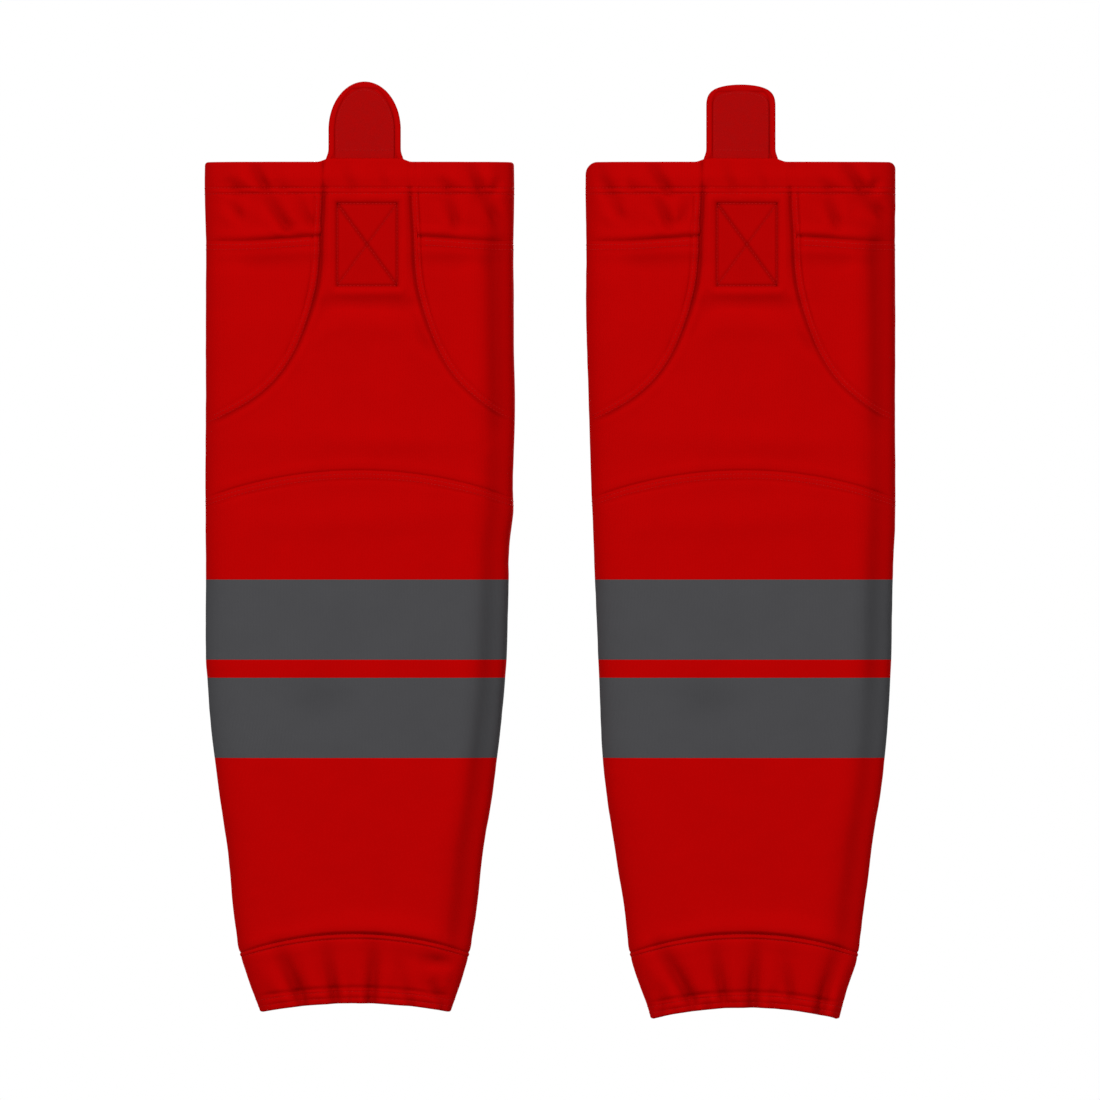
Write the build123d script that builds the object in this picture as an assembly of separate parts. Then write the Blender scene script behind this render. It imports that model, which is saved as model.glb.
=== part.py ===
from build123d import *

import math
import os
from typing import NamedTuple

# A pair of senior ice-hockey socks: open-ended knitted leg tubes, each with a fastening
# tab behind its top hem. Millimetres. +Z is up the leg, -Y is the shin side, and the origin
# is on the ground midway between the two socks, so X tells them apart.

# --- driving dimensions -------------------------------------------------------------------

LEG_HEIGHT = 716.0  # ground to the top edge: a 28 inch sock and the arch of its ankle hem
FABRIC = 1.6  # one worked layer of knit, seam allowances included
HEM_LAYER = 1.4  # each layer of a folded hem, and the slot between them
HEM = 3 * HEM_LAYER
ELASTIC_SLACK = 0.2  # between an elastic and the hem that holds it
THREAD_WIDTH = 1.1
THREAD_PROUD = 0.5

FOLD_LINE = 719.0  # where the tab turns over the top hem
HEM_BOTTOM = 687.0
HEM_ROWS = (694.3, 689.3)
YOKE_SEAM = 651.5
YOKE_ROWS = (648.2, 644.0)
SHIN_SEAM_SIDE = 435.5
SHIN_SEAM_RISE = 23.0
SHIN_ROW_DROPS = (4.2, 7.6)
STRIPE_EDGES = (367.2, 300.3, 285.2, 218.3)
ANKLE_SEAM_SIDE = 55.2
ANKLE_SEAM_RISE = 16.0
ANKLE_ROW_DROPS = (-2.2, 2.2)
ANKLE_HEM_HEIGHT = 12.0
ANKLE_HEM_ROWS = (4.6, 10.4)  # above the bottom edge

# Knee panel seam: distance from the panel's middle, and height. It runs down beside the
# tab's stitching, then sweeps out to the side of the leg like a bell.
KNEE_SEAM = (
    (38.0, 700.0),
    (40.0, 660.0),
    (44.0, 609.0),
    (63.5, 554.0),
    (94.5, 518.5),
    (150.0, 489.0),
)
KNEE_ROW_SHIFTS = (3.0, 6.4)  # out and up from the seam, onto the side panels

STRAP = 2.2
STRAP_WIDTH = 50.0
STRAP_GAP = 0.4  # between the strap and the hem in front of it
TAPE = 1.6
TAPE_INSET = 5.5
TAPE_BOTTOM = 724.0
BOX_WIDTH = 50.0
BOX_TOP = 681.0
BOX_BOTTOM = 612.5
ANCHOR_BEND = (688.0, 680.0)  # where the strap steps forward, below the hem's inner layer
ANCHOR_BOTTOM = 609.0
TAB_FLARE = 3.0
TAB_FLARE_HEIGHT = 6.0

BACK_SEAM_WIDTH = 5.0
BACK_SEAM_PROUD = 1.0
BACK_SEAM_BOTTOM = 30.0

REACH = 400.0  # longer than any piece, for cutting
SIDE_REACH = 22.0  # how far a cutting outline runs past the leg on each side


class Sock(NamedTuple):
    """What differs between the two socks."""

    name: str
    stations: tuple  # height, left edge, right edge and half depth, from the top down
    bottom: float  # height of the bottom edge at the sides of the leg
    bottom_rise: float  # how far that edge arches up in the middle
    panel_x: float
    box_x: float
    tab_x: float
    tab_half: float
    tab_top: float
    tab_crown: float  # height of the tab's curved top
    tab_corner: float  # corner radius under a shallow crown; 0 where the crown is a half ellipse


LEFT = Sock(
    name="left",
    stations=(
        (LEG_HEIGHT, -288.2, -31.8, 36.0),
        (434.0, -288.2, -33.0, 36.0),
        (300.3, -288.0, -38.5, 36.0),
        (216.0, -280.2, -46.0, 34.0),
        (132.0, -268.1, -59.0, 31.0),
        (57.0, -260.6, -68.2, 28.0),
        (0.0, -239.5, -87.5, 24.0),
    ),
    bottom=5.9,
    bottom_rise=7.3,
    panel_x=-151.9,
    box_x=-153.5,
    tab_x=-155.6,
    tab_half=29.7,
    tab_top=783.0,
    tab_crown=40.2,
    tab_corner=0.0,
)
RIGHT = Sock(
    name="right",
    stations=(
        (LEG_HEIGHT, 29.7, 287.3, 36.0),
        (434.0, 34.7, 287.3, 36.0),
        (300.3, 40.2, 283.6, 36.0),
        (216.0, 43.9, 278.1, 34.0),
        (132.0, 55.6, 266.4, 31.0),
        (57.0, 65.7, 256.4, 28.0),
        (0.0, 84.5, 239.6, 24.0),
    ),
    bottom=0.0,
    bottom_rise=9.5,
    panel_x=164.5,
    box_x=163.5,
    tab_x=158.5,
    tab_half=28.4,
    tab_top=780.5,
    tab_crown=3.0,
    tab_corner=15.0,
)


# --- shapes of the leg --------------------------------------------------------------------


def leg(sock: Sock, grow: float) -> Part:
    """The solid leg, flattened and tapering, with its surface moved out by grow."""
    sections = []
    for z, left, right, half_depth in sock.stations:
        width = right - left + 2 * grow
        slot = SlotOverall(width, 2 * (half_depth + grow))
        sections.append(Plane.XY.offset(z) * Pos((left + right) / 2, 0) * slot)
    return loft(sections, ruled=True)


def layer(sock: Sock, outer: float, inner: float) -> Part:
    """A tube wall between two depths, measured outwards from the leg's surface."""
    return leg(sock, outer) - leg(sock, inner)


def edges_at(sock: Sock, height: float) -> tuple:
    """Left and right edge of the leg at a height."""
    for upper, lower in zip(sock.stations, sock.stations[1:]):
        if height >= lower[0]:
            share = (height - lower[0]) / (upper[0] - lower[0])
            left = lower[1] + share * (upper[1] - lower[1])
            right = lower[2] + share * (upper[2] - lower[2])
            return left, right
    return sock.stations[-1][1], sock.stations[-1][2]


def middle_at(sock: Sock, height: float) -> float:
    """Where the leg's middle plane is at a height."""
    return sum(edges_at(sock, height)) / 2


# --- cutting tools ------------------------------------------------------------------------


def front(outline: Sketch) -> Part:
    """An outline of the front view carried through the front half of a leg."""
    return extrude(Plane.XZ * outline, REACH)


def back(outline: Sketch) -> Part:
    """An outline of the front view carried through the back half of a leg."""
    return extrude(Plane.XZ * outline, -REACH)


def through(outline: Sketch) -> Part:
    """An outline of the front view carried through the whole leg."""
    return extrude(Plane.XZ * outline, REACH, both=True)


def band(low: float, high: float) -> Sketch:
    """A level strip of the front view, across both socks."""
    return Pos(0, (low + high) / 2) * Rectangle(2 * REACH, high - low)


def row(height: float) -> Sketch:
    """A level row of stitches in the front view."""
    return band(height - THREAD_WIDTH / 2, height + THREAD_WIDTH / 2)


def under_arch(sock: Sock, side: float, rise: float) -> Sketch:
    """Everything in the front view under a seam that is higher in the leg's middle.

    The seam is an arc that passes the leg's sides at the height side, and runs on past them.
    """
    left, right = edges_at(sock, side)
    middle = (left + right) / 2
    half = (right - left) / 2
    radius = (half**2 + rise**2) / (2 * rise)
    reach = half + SIDE_REACH
    end = side + rise - radius + math.sqrt(radius**2 - reach**2)
    arc = ThreePointArc((middle - reach, end), (middle, side + rise), (middle + reach, end))
    floor = end - REACH
    rest = Polyline(
        (middle + reach, end),
        (middle + reach, floor),
        (middle - reach, floor),
        (middle - reach, end),
    )
    return make_face(arc.edges() + rest.edges())


def arch_row(sock: Sock, side: float, rise: float) -> Sketch:
    """A row of stitches along such a seam."""
    half = THREAD_WIDTH / 2
    return under_arch(sock, side + half, rise) - under_arch(sock, side - half, rise)


def knee_seam(sock: Sock, direction: int, shift: float) -> Edge:
    """The knee panel's seam on one side, direction -1 or 1, moved out and up by shift."""
    points = [
        (sock.panel_x + direction * (out + shift), height + shift)
        for out, height in KNEE_SEAM
    ]
    return Spline(*points)


def knee_outline(sock: Sock, shift: float = 0.0) -> Sketch:
    """Everything in the front view that lies inside the knee panel's seams, moved by shift."""
    left, right = knee_seam(sock, -1, shift), knee_seam(sock, 1, shift)
    floor = SHIN_SEAM_SIDE - REACH / 4
    rest = Polyline(
        right @ 1,
        ((right @ 1).X, floor),
        ((left @ 1).X, floor),
        left @ 1,
    )
    top = Line(left @ 0, right @ 0)
    return make_face(left.edges() + right.edges() + rest.edges() + top.edges())


# --- pieces -------------------------------------------------------------------------------


def top_hem(sock: Sock) -> dict:
    """The folded top hem, open along its lower edge, and the elastic inside it."""
    slot_depths = (-HEM_LAYER, -2 * HEM_LAYER)
    wall = layer(sock, 0, -HEM) & through(band(HEM_BOTTOM, LEG_HEIGHT))
    slot = layer(sock, *slot_depths) & through(band(HEM_BOTTOM, LEG_HEIGHT - HEM_LAYER))
    outer, inner = slot_depths[0] - ELASTIC_SLACK, slot_depths[1] + ELASTIC_SLACK
    elastic_band = band(HEM_BOTTOM + HEM_LAYER, LEG_HEIGHT - 2 * HEM_LAYER)
    elastic = layer(sock, outer, inner) & through(elastic_band)
    return {"top_hem": wall - slot, "top_elastic": elastic}


def thigh(sock: Sock, wall: Part) -> dict:
    """Knee panel, and the yokes and thigh panels that wrap round to the back seam."""
    knee = knee_outline(sock)
    knee_front = front(knee)
    shin = under_arch(sock, SHIN_SEAM_SIDE, SHIN_SEAM_RISE)
    low = SHIN_SEAM_SIDE - SHIN_SEAM_RISE
    pieces = {"knee_panel": wall & front((knee & band(low, HEM_BOTTOM)) - shin)}
    sides = {
        "yoke": (wall & through(band(YOKE_SEAM, HEM_BOTTOM))) - knee_front,
        "thigh_panel": (wall & through(band(low, YOKE_SEAM) - shin)) - knee_front,
    }
    for name, ring in sides.items():
        for direction, word in ((-1, "left"), (1, "right")):
            middle = middle_at(sock, YOKE_SEAM) + direction * REACH / 2
            half = Pos(middle, 0, YOKE_SEAM) * Box(REACH, REACH, 2 * REACH)
            pieces[f"{name}_{word}"] = ring & half
    return pieces


def lower_leg(sock: Sock, wall: Part) -> dict:
    """Shin panel, stripes, lower leg and ankle cuff, one under the other."""
    first, second, third, fourth = STRIPE_EDGES
    shin = under_arch(sock, SHIN_SEAM_SIDE, SHIN_SEAM_RISE)
    below_ankle = under_arch(sock, ANKLE_SEAM_SIDE, ANKLE_SEAM_RISE)
    below_cuff = under_arch(sock, sock.bottom + ANKLE_HEM_HEIGHT, sock.bottom_rise)
    return {
        "shin_panel": wall & through(shin & band(first, LEG_HEIGHT)),
        "stripe_upper": wall & through(band(second, first)),
        "stripe_middle": wall & through(band(third, second)),
        "stripe_lower": wall & through(band(fourth, third)),
        "lower_leg_panel": wall & through(band(-REACH, fourth) - below_ankle),
        "ankle_cuff": wall & through(below_ankle - below_cuff),
    }


def ankle_hem(sock: Sock) -> dict:
    """The folded ankle hem, open along its upper edge, and the elastic inside it."""

    def space(low: float, high: float) -> Part:
        """Between two heights over the bottom edge, arched as it is."""
        upper = under_arch(sock, sock.bottom + high, sock.bottom_rise)
        return through(upper - under_arch(sock, sock.bottom + low, sock.bottom_rise))

    slot_depths = (-HEM_LAYER, -2 * HEM_LAYER)
    wall = layer(sock, 0, -HEM) & space(0, ANKLE_HEM_HEIGHT)
    slot = layer(sock, *slot_depths) & space(HEM_LAYER, ANKLE_HEM_HEIGHT)
    outer, inner = slot_depths[0] - ELASTIC_SLACK, slot_depths[1] + ELASTIC_SLACK
    elastic = layer(sock, outer, inner) & space(2 * HEM_LAYER, ANKLE_HEM_HEIGHT - HEM_LAYER)
    return {"ankle_hem": wall - slot, "ankle_elastic": elastic}


def stitching(sock: Sock) -> dict:
    """Rows of thread standing on the leg's surface, one node for each seam."""
    threads = layer(sock, THREAD_PROUD, 0)
    knee_front = front(knee_outline(sock))
    hem_rows = [threads & through(row(height)) for height in HEM_ROWS]
    yoke_rows = [threads & through(row(height)) - knee_front for height in YOKE_ROWS]
    knee_rows = []
    for shift in KNEE_ROW_SHIFTS:
        line = knee_outline(sock, shift + THREAD_WIDTH) - knee_outline(sock, shift)
        under_yoke = line & band(SHIN_SEAM_SIDE, YOKE_ROWS[-1] - THREAD_WIDTH)
        knee_rows.append(threads & front(under_yoke))
    shin_rows = [
        threads & through(arch_row(sock, SHIN_SEAM_SIDE - drop, SHIN_SEAM_RISE))
        for drop in SHIN_ROW_DROPS
    ]
    ankle_rows = [
        threads & through(arch_row(sock, ANKLE_SEAM_SIDE - drop, ANKLE_SEAM_RISE))
        for drop in ANKLE_ROW_DROPS
    ]
    ankle_hem_rows = [
        threads & through(arch_row(sock, sock.bottom + height, sock.bottom_rise))
        for height in ANKLE_HEM_ROWS
    ]
    return {
        "top_hem_stitching": hem_rows,
        "yoke_stitching": yoke_rows,
        "knee_stitching": knee_rows,
        "shin_stitching": shin_rows,
        "ankle_seam_stitching": ankle_rows,
        "ankle_hem_stitching": ankle_hem_rows,
    }


def box_stitching(sock: Sock) -> Part:
    """The box with a cross in it that sews the tab's strap to the knee panel."""
    height = BOX_TOP - BOX_BOTTOM
    inner = Rectangle(BOX_WIDTH - THREAD_WIDTH, height - THREAD_WIDTH)
    outline = Rectangle(BOX_WIDTH + THREAD_WIDTH, height + THREAD_WIDTH) - inner
    diagonal = math.hypot(BOX_WIDTH, height)
    lean = math.degrees(math.atan2(height, BOX_WIDTH))
    cross = Rot(0, 0, lean) * Rectangle(diagonal, THREAD_WIDTH)
    cross += Rot(0, 0, -lean) * Rectangle(diagonal, THREAD_WIDTH)
    figure = Pos(sock.box_x, (BOX_TOP + BOX_BOTTOM) / 2) * (outline + cross)
    surface = sock.stations[0][3]
    return extrude(Plane.XZ.offset(surface) * figure, THREAD_PROUD)


def back_seam(sock: Sock) -> Part:
    """The lapped seam that closes the leg down the calf, let in round the rows that cross it."""
    middle = middle_at(sock, YOKE_SEAM)
    low = BACK_SEAM_BOTTOM
    high = HEM_ROWS[-1] - THREAD_WIDTH
    strip = Pos(middle, (low + high) / 2) * Rectangle(BACK_SEAM_WIDTH, high - low)
    for height in YOKE_ROWS:
        strip -= row(height)
    for drop in SHIN_ROW_DROPS:
        strip -= arch_row(sock, SHIN_SEAM_SIDE - drop, SHIN_SEAM_RISE)
    for drop in ANKLE_ROW_DROPS:
        strip -= arch_row(sock, ANKLE_SEAM_SIDE - drop, ANKLE_SEAM_RISE)
    return layer(sock, BACK_SEAM_PROUD, 0) & back(strip)


def tab_outline(sock: Sock, inset: float = 0.0) -> Sketch:
    """The tab in the front view, from its fold line up, or a smaller one inside it."""
    half = sock.tab_half - inset
    left, right = sock.tab_x - half, sock.tab_x + half
    top = sock.tab_top - inset
    crown_height = sock.tab_crown if sock.tab_corner else sock.tab_crown - inset
    shoulder = top - crown_height
    flare_top = FOLD_LINE + TAB_FLARE_HEIGHT
    sides = Polyline(
        (left, shoulder),
        (left, flare_top),
        (left - TAB_FLARE, FOLD_LINE),
        (right + TAB_FLARE, FOLD_LINE),
        (right, flare_top),
        (right, shoulder),
    )
    if sock.tab_corner:
        crown = ThreePointArc((left, shoulder), (sock.tab_x, top), (right, shoulder))
        outline = make_face(sides.edges() + crown.edges())
        corners = outline.vertices().filter_by_position(Axis.Y, flare_top + inset, top)
        return fillet(corners, sock.tab_corner - inset)
    crown = EllipticalCenterArc((sock.tab_x, shoulder), half, crown_height, arc_size=180)
    return make_face(sides.edges() + crown.edges())


def tab(sock: Sock) -> dict:
    """The tab, the fastening tape sewn on it, and the strap that anchors it to the leg."""
    strap_front = sock.stations[0][3] - HEM - STRAP_GAP
    outline = tab_outline(sock)
    tape_outline = tab_outline(sock, TAPE_INSET) & band(TAPE_BOTTOM, sock.tab_top)
    step_top, step_bottom = ANCHOR_BEND
    panel = sock.stations[0][3] - FABRIC
    profile = Polyline(
        (-strap_front, FOLD_LINE),
        (-strap_front, step_top),
        (-panel, step_bottom),
        (-panel, ANCHOR_BOTTOM),
        (-panel + STRAP, ANCHOR_BOTTOM),
        (-panel + STRAP, step_bottom),
        (-strap_front + STRAP, step_top),
        (-strap_front + STRAP, FOLD_LINE),
        close=True,
    )
    anchor = extrude(Plane.YZ * make_face(profile), STRAP_WIDTH / 2, both=True)
    return {
        "tab": extrude(Plane.XZ.offset(strap_front) * outline, -STRAP),
        "tab_tape": extrude(Plane.XZ.offset(strap_front) * tape_outline, TAPE),
        "tab_anchor": Pos(sock.tab_x, 0, 0) * anchor,
        "box_stitching": box_stitching(sock),
    }


def build(sock: Sock) -> dict:
    """Every piece of one sock, by the name of its node."""
    wall = layer(sock, 0, -FABRIC)
    pieces = {
        **top_hem(sock),
        **thigh(sock, wall),
        **lower_leg(sock, wall),
        **ankle_hem(sock),
        **stitching(sock),
        **tab(sock),
        "back_seam": back_seam(sock),
    }
    return {f"{sock.name}_{name}": piece for name, piece in pieces.items()}


def solids_of(piece) -> list:
    """The solids of a part, or of a list of parts."""
    parts = piece if isinstance(piece, list) else [piece]
    return [solid for part in parts for solid in part.solids()]


def main() -> None:
    """Builds both socks and writes one STEP file for each node."""
    os.makedirs("parts", exist_ok=True)
    for sock in (LEFT, RIGHT):
        for node, piece in build(sock).items():
            solids = solids_of(piece)
            shape = solids[0] if len(solids) == 1 else Compound(children=solids)
            shape.label = node
            export_step(shape, f"parts/{node}.step")
            print(node, len(solids))


main()
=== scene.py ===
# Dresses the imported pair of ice-hockey socks: knitted panels with their seams, folds and
# gathers, rows of stitches, elastics and fastening tabs. Shapes are worked out in
# millimetres and become metres where a mesh is made.

import logging
import math
from collections.abc import Callable, Iterable
from dataclasses import dataclass, field
from enum import Enum

import bpy
import numpy as np
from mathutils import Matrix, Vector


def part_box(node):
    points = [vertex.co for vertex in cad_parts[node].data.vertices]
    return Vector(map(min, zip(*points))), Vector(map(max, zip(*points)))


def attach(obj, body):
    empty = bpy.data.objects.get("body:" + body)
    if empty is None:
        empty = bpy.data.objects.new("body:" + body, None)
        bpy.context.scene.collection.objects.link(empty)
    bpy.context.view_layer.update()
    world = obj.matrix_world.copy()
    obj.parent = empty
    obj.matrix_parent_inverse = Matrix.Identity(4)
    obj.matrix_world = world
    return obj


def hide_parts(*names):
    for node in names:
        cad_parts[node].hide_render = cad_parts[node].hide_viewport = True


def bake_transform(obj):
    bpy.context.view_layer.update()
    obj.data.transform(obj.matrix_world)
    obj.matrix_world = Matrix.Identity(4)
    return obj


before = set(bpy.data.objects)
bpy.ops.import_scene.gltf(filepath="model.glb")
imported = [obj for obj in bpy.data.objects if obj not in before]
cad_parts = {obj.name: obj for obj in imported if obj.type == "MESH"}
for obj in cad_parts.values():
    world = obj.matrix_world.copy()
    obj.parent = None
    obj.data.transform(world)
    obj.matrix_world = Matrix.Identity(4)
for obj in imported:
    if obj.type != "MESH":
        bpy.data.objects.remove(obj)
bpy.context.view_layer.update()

Colour = tuple[float, ...]
Socket = bpy.types.NodeSocket
Grid = tuple[np.ndarray, np.ndarray]  # p and z of a panel's points
Edge = float | Callable[[np.ndarray], np.ndarray]  # a height, or one for each x

MM = 0.001
LOG = logging.getLogger("socks")
DIRECTIONS = (-1, 1)  # the left and the right of a sock


class Side(Enum):
    """Which sock of the pair; the value is its prefix in node and body names."""

    LEFT = "left"
    RIGHT = "right"

    @property
    def body(self) -> str:
        """Name of the leg's body."""
        return f"{self.value}_sock"

    @property
    def tab_body(self) -> str:
        """Name of the tab's body."""
        return f"{self.value}_tab"


class TabTop(Enum):
    """The shape of a tab's upper end."""

    ROUND = "round"
    SQUARE = "square"


class Held(Enum):
    """How a panel of cloth is held."""

    STRETCHED = "stretched"
    GATHERED = "gathered"


def node_box(node: str) -> tuple[np.ndarray, np.ndarray]:
    """Lowest and highest corner of a CAD node, in millimetres."""
    low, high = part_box(node)
    return np.array(low) / MM, np.array(high) / MM


def bell(distance: np.ndarray, width: float) -> np.ndarray:
    """A smooth bump, 1 at distance 0."""
    return np.exp(-((distance / width) ** 2))


def ramp(value: np.ndarray, start: float, end: float) -> np.ndarray:
    """0 before start, 1 after end, smooth between them; start may be the larger."""
    t = np.clip((value - start) / (end - start), 0.0, 1.0)
    return t * t * (3 - 2 * t)


def smooth_line(points: tuple[tuple[float, float], ...], steps: int) -> np.ndarray:
    """Points along a Catmull-Rom curve through a few given ones.

    Args:
        points: the corners it passes through.
        steps: how many points each stretch gets.

    Returns:
        An array of x, z rows.
    """
    p = np.array(points, float)
    p = np.vstack([2 * p[0] - p[1], p, 2 * p[-1] - p[-2]])
    rows = []
    for i in range(1, len(p) - 2):
        t = np.linspace(0, 1, steps, endpoint=i == len(p) - 3)[:, None]
        a, b, c, d = p[i - 1 : i + 3]
        square, cube = 2 * a - 5 * b + 4 * c - d, 3 * b - a - 3 * c + d
        rows.append(0.5 * (2 * b + (c - a) * t + square * t**2 + cube * t**3))
    return np.vstack(rows)


def distance_to_line(x: np.ndarray, z: np.ndarray, line: np.ndarray) -> np.ndarray:
    """Distance from points to a line of short stretches.

    Args:
        x: where the points are across the leg.
        z: their heights.
        line: rows of x, z along the line.

    Returns:
        The distances, without a sign.
    """
    nearest = np.full(np.broadcast(x, z).shape, np.inf)
    for (ax, az), (bx, bz) in zip(line[:-1], line[1:]):
        dx, dz = bx - ax, bz - az
        t = np.clip(((x - ax) * dx + (z - az) * dz) / (dx * dx + dz * dz), 0, 1)
        nearest = np.minimum(nearest, np.hypot(x - ax - t * dx, z - az - t * dz))
    return nearest


# --- relief of the cloth ------------------------------------------------------------------


@dataclass(frozen=True)
class Crease:
    """A soft fold pressed into the cloth, with the cloth raised on both sides of it."""

    start: tuple[float, float]  # from the leg's middle, and height
    end: tuple[float, float]
    width: float
    depth: float
    widths: tuple[float, float] = (1.7, 1.05)  # shares of the width at the start and the end
    depths: tuple[float, float] = (0.45, 1.5)  # and of the depth
    bank: float = 0.38  # rise of the cloth beside it, as a share of the fold
    bank_at: float = 2.1  # in widths from the fold
    bank_width: float = 1.2
    fade: float = 2.2  # how far it dies out past its ends, in widths

    def height(self, x: np.ndarray, z: np.ndarray) -> np.ndarray:
        """How far the cloth stands out.

        Args:
            x: distance across from the leg's middle.
            z: height.

        Returns:
            The fold's relief at those points.
        """
        (ax, az), (bx, bz) = self.start, self.end
        length = math.hypot(bx - ax, bz - az)
        ux, uz = (bx - ax) / length, (bz - az) / length
        along = (x - ax) * ux + (z - az) * uz
        away = (x - ax) * uz - (z - az) * ux
        share = np.clip(along / length, 0, 1)
        beyond = np.maximum(np.maximum(-along, along - length), 0)
        wide = self.width * (self.widths[0] + (self.widths[1] - self.widths[0]) * share)
        deep = self.depth * (self.depths[0] + (self.depths[1] - self.depths[0]) * share)
        bank = bell(np.abs(away) - self.bank_at * wide, self.bank_width * wide)
        return -deep * bell(beyond, self.fade * self.width) * (bell(away, wide) - self.bank * bank)


@dataclass(frozen=True)
class Swell:
    """A broad rise or hollow of the cloth."""

    centre: tuple[float, float]
    size: tuple[float, float]
    rise: float
    lean: float = 0.0  # how much it climbs for each millimetre across

    def height(self, x: np.ndarray, z: np.ndarray) -> np.ndarray:
        """How far the cloth stands out.

        Args:
            x: distance across from the leg's middle.
            z: height.

        Returns:
            The swell's relief at those points.
        """
        across = (x - self.centre[0]) / self.size[0]
        up = (z - self.centre[1] - self.lean * (x - self.centre[0])) / self.size[1]
        return self.rise * np.exp(-(across**2) - up**2)


@dataclass(frozen=True)
class Seam:
    """A lapped seam: a valley, and a ridge on one side of it with rows of stitches."""

    valley: float = 1.1
    valley_width: float = 1.0
    ridge: float = 0.55
    ridge_width: float = 6.0
    rows: tuple[float, ...] = ()  # stitches' distances from the seam
    groove: float = 0.3  # depth of the line that a row of stitches pulls in
    groove_width: float = 0.55
    puff: float = 0.7  # how far the cloth beside the seam puffs up
    puff_width: float = 5.0
    far_puff_width: float = 4.5
    far_edge: float = 0.5  # share of the valley beside the ridge's other edge
    far_edge_width: float = 0.9

    def height(self, away: np.ndarray) -> np.ndarray:
        """The seam's relief.

        Args:
            away: distance from the seam, positive on the ridge's side.

        Returns:
            How far the cloth stands out.
        """
        past = away - self.ridge_width
        height = self.ridge * ramp(away, 0.3, 1.3) * ramp(past, 0.6, -0.5)
        height -= self.valley * bell(away, self.valley_width)
        height -= self.far_edge * self.valley * bell(past - 0.5, self.far_edge_width)
        for row in self.rows:
            height -= self.groove * bell(away - row, self.groove_width)
        height += self.puff * bell(away + self.puff_width, 0.8 * self.puff_width)
        return height + 0.5 * self.puff * bell(past - self.puff_width, self.far_puff_width)


@dataclass
class Noise:
    """Smooth seeded noise, for the cloth's slight unevenness."""

    seed: int
    cell: float
    size: int = 64
    values: np.ndarray = field(init=False)

    def __post_init__(self) -> None:
        """Draws the grid of values."""
        self.values = np.random.default_rng(self.seed).uniform(-1, 1, (self.size, self.size))

    def height(self, x: np.ndarray, z: np.ndarray) -> np.ndarray:
        """The noise at points of the front view.

        Args:
            x: distance across.
            z: height.

        Returns:
            Values from -1 to 1.
        """
        gx, gz = x / self.cell, z / self.cell
        ix, iz = np.floor(gx).astype(int), np.floor(gz).astype(int)
        fx, fz = ramp(gx - ix, 0, 1), ramp(gz - iz, 0, 1)

        def at(a: np.ndarray, b: np.ndarray) -> np.ndarray:
            """The grid's value, repeated past its edges."""
            return self.values[a % self.size, b % self.size]

        low = at(ix, iz) * (1 - fx) + at(ix + 1, iz) * fx
        high = at(ix, iz + 1) * (1 - fx) + at(ix + 1, iz + 1) * fx
        return low * (1 - fz) + high * fz


# --- the leg's own shape ------------------------------------------------------------------


@dataclass(frozen=True)
class Cut:
    """The pattern both socks are cut to: heights and seams, in millimetres.

    Rows of stitches are distances from their seam or edge, except hem_rows, which are heights.
    """

    hem_bottom: float = 687.0
    hem_rows: tuple[float, float] = (694.3, 689.3)
    yoke_inner: float = 653.6  # the yoke seam beside the knee panel
    yoke_outer: float = 650.2  # and at the leg's sides
    hem_lap: float = 703.5  # the hem's fullest height
    yoke_rows: tuple[float, float] = (3.3, 7.2)
    shin_side: float = 435.5
    shin_rise: float = 23.0
    shin_rows: tuple[float, float] = (3.1, 6.5)
    ankle_side: float = 55.2
    ankle_rise: float = 16.0
    ankle_rows: tuple[float, float] = (0.4, 3.9)
    ankle_hem: float = 12.0
    ankle_hem_rows: tuple[float, float] = (4.6, 10.0)
    knee_seam: tuple[tuple[float, float], ...] = (
        (38.5, 718.0),
        (38.5, 687.0),
        (40.0, 660.0),
        (44.0, 609.0),
        (63.5, 554.0),
        (94.5, 518.5),
        (150.0, 489.0),
    )
    knee_rows: tuple[float, float] = (1.7, 4.9)
    knee_half: float = 38.5  # half the knee panel's neck
    box: tuple[float, float, float] = (25.0, 612.5, 681.0)  # half width, bottom and top
    back_seam_width: float = 5.0


CUT = Cut()
STRIPED = ("stripe_upper", "stripe_middle", "stripe_lower", "lower_leg_panel")  # downwards
ARCH_TOP = 492.0  # above this the panels' courses are level again
YOKE_MEAN = 651.5
GREY = ("stripe_upper", "stripe_lower")
SHIN_SEAM = Seam(valley=0.8, rows=CUT.shin_rows, ridge_width=7.6, ridge=0.45, puff=0.5)
ANKLE_SEAM = Seam(valley=1.3, ridge=0.7, ridge_width=3.4, puff=0.6, puff_width=6.0)
KNEE_SEAM = Seam(
    valley=1.6, valley_width=1.8, rows=CUT.knee_rows, ridge_width=6.4, ridge=0.8, puff=1.0
)
YOKE_SEAM = Seam(
    valley=1.9,
    valley_width=1.9,
    rows=CUT.yoke_rows,
    ridge_width=8.0,
    ridge=0.5,
    puff=1.5,
    far_edge=0.15,
    groove=0.2,
)


@dataclass(frozen=True)
class Bulge:
    """A place where an edge of the leg stands out or in."""

    height: float
    reach: float
    rise: float


@dataclass(frozen=True)
class Character:
    """What gives one sock its own look: places from its leg's middle, and folds."""

    panel: float  # where the knee panel's middle is
    box: float  # and the sewn box's
    knee_laps: tuple[float, float]  # where each knee seam's ridge starts, left and right
    corners: tuple[float, float]  # radius of the top edge's left and right corner
    left_bulges: tuple[Bulge, ...]
    right_bulges: tuple[Bulge, ...]
    hem_folds: tuple[Crease, ...]
    cuff_folds: tuple[Crease, ...]
    swells: tuple[Swell | Crease, ...]
    seed: int


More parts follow.
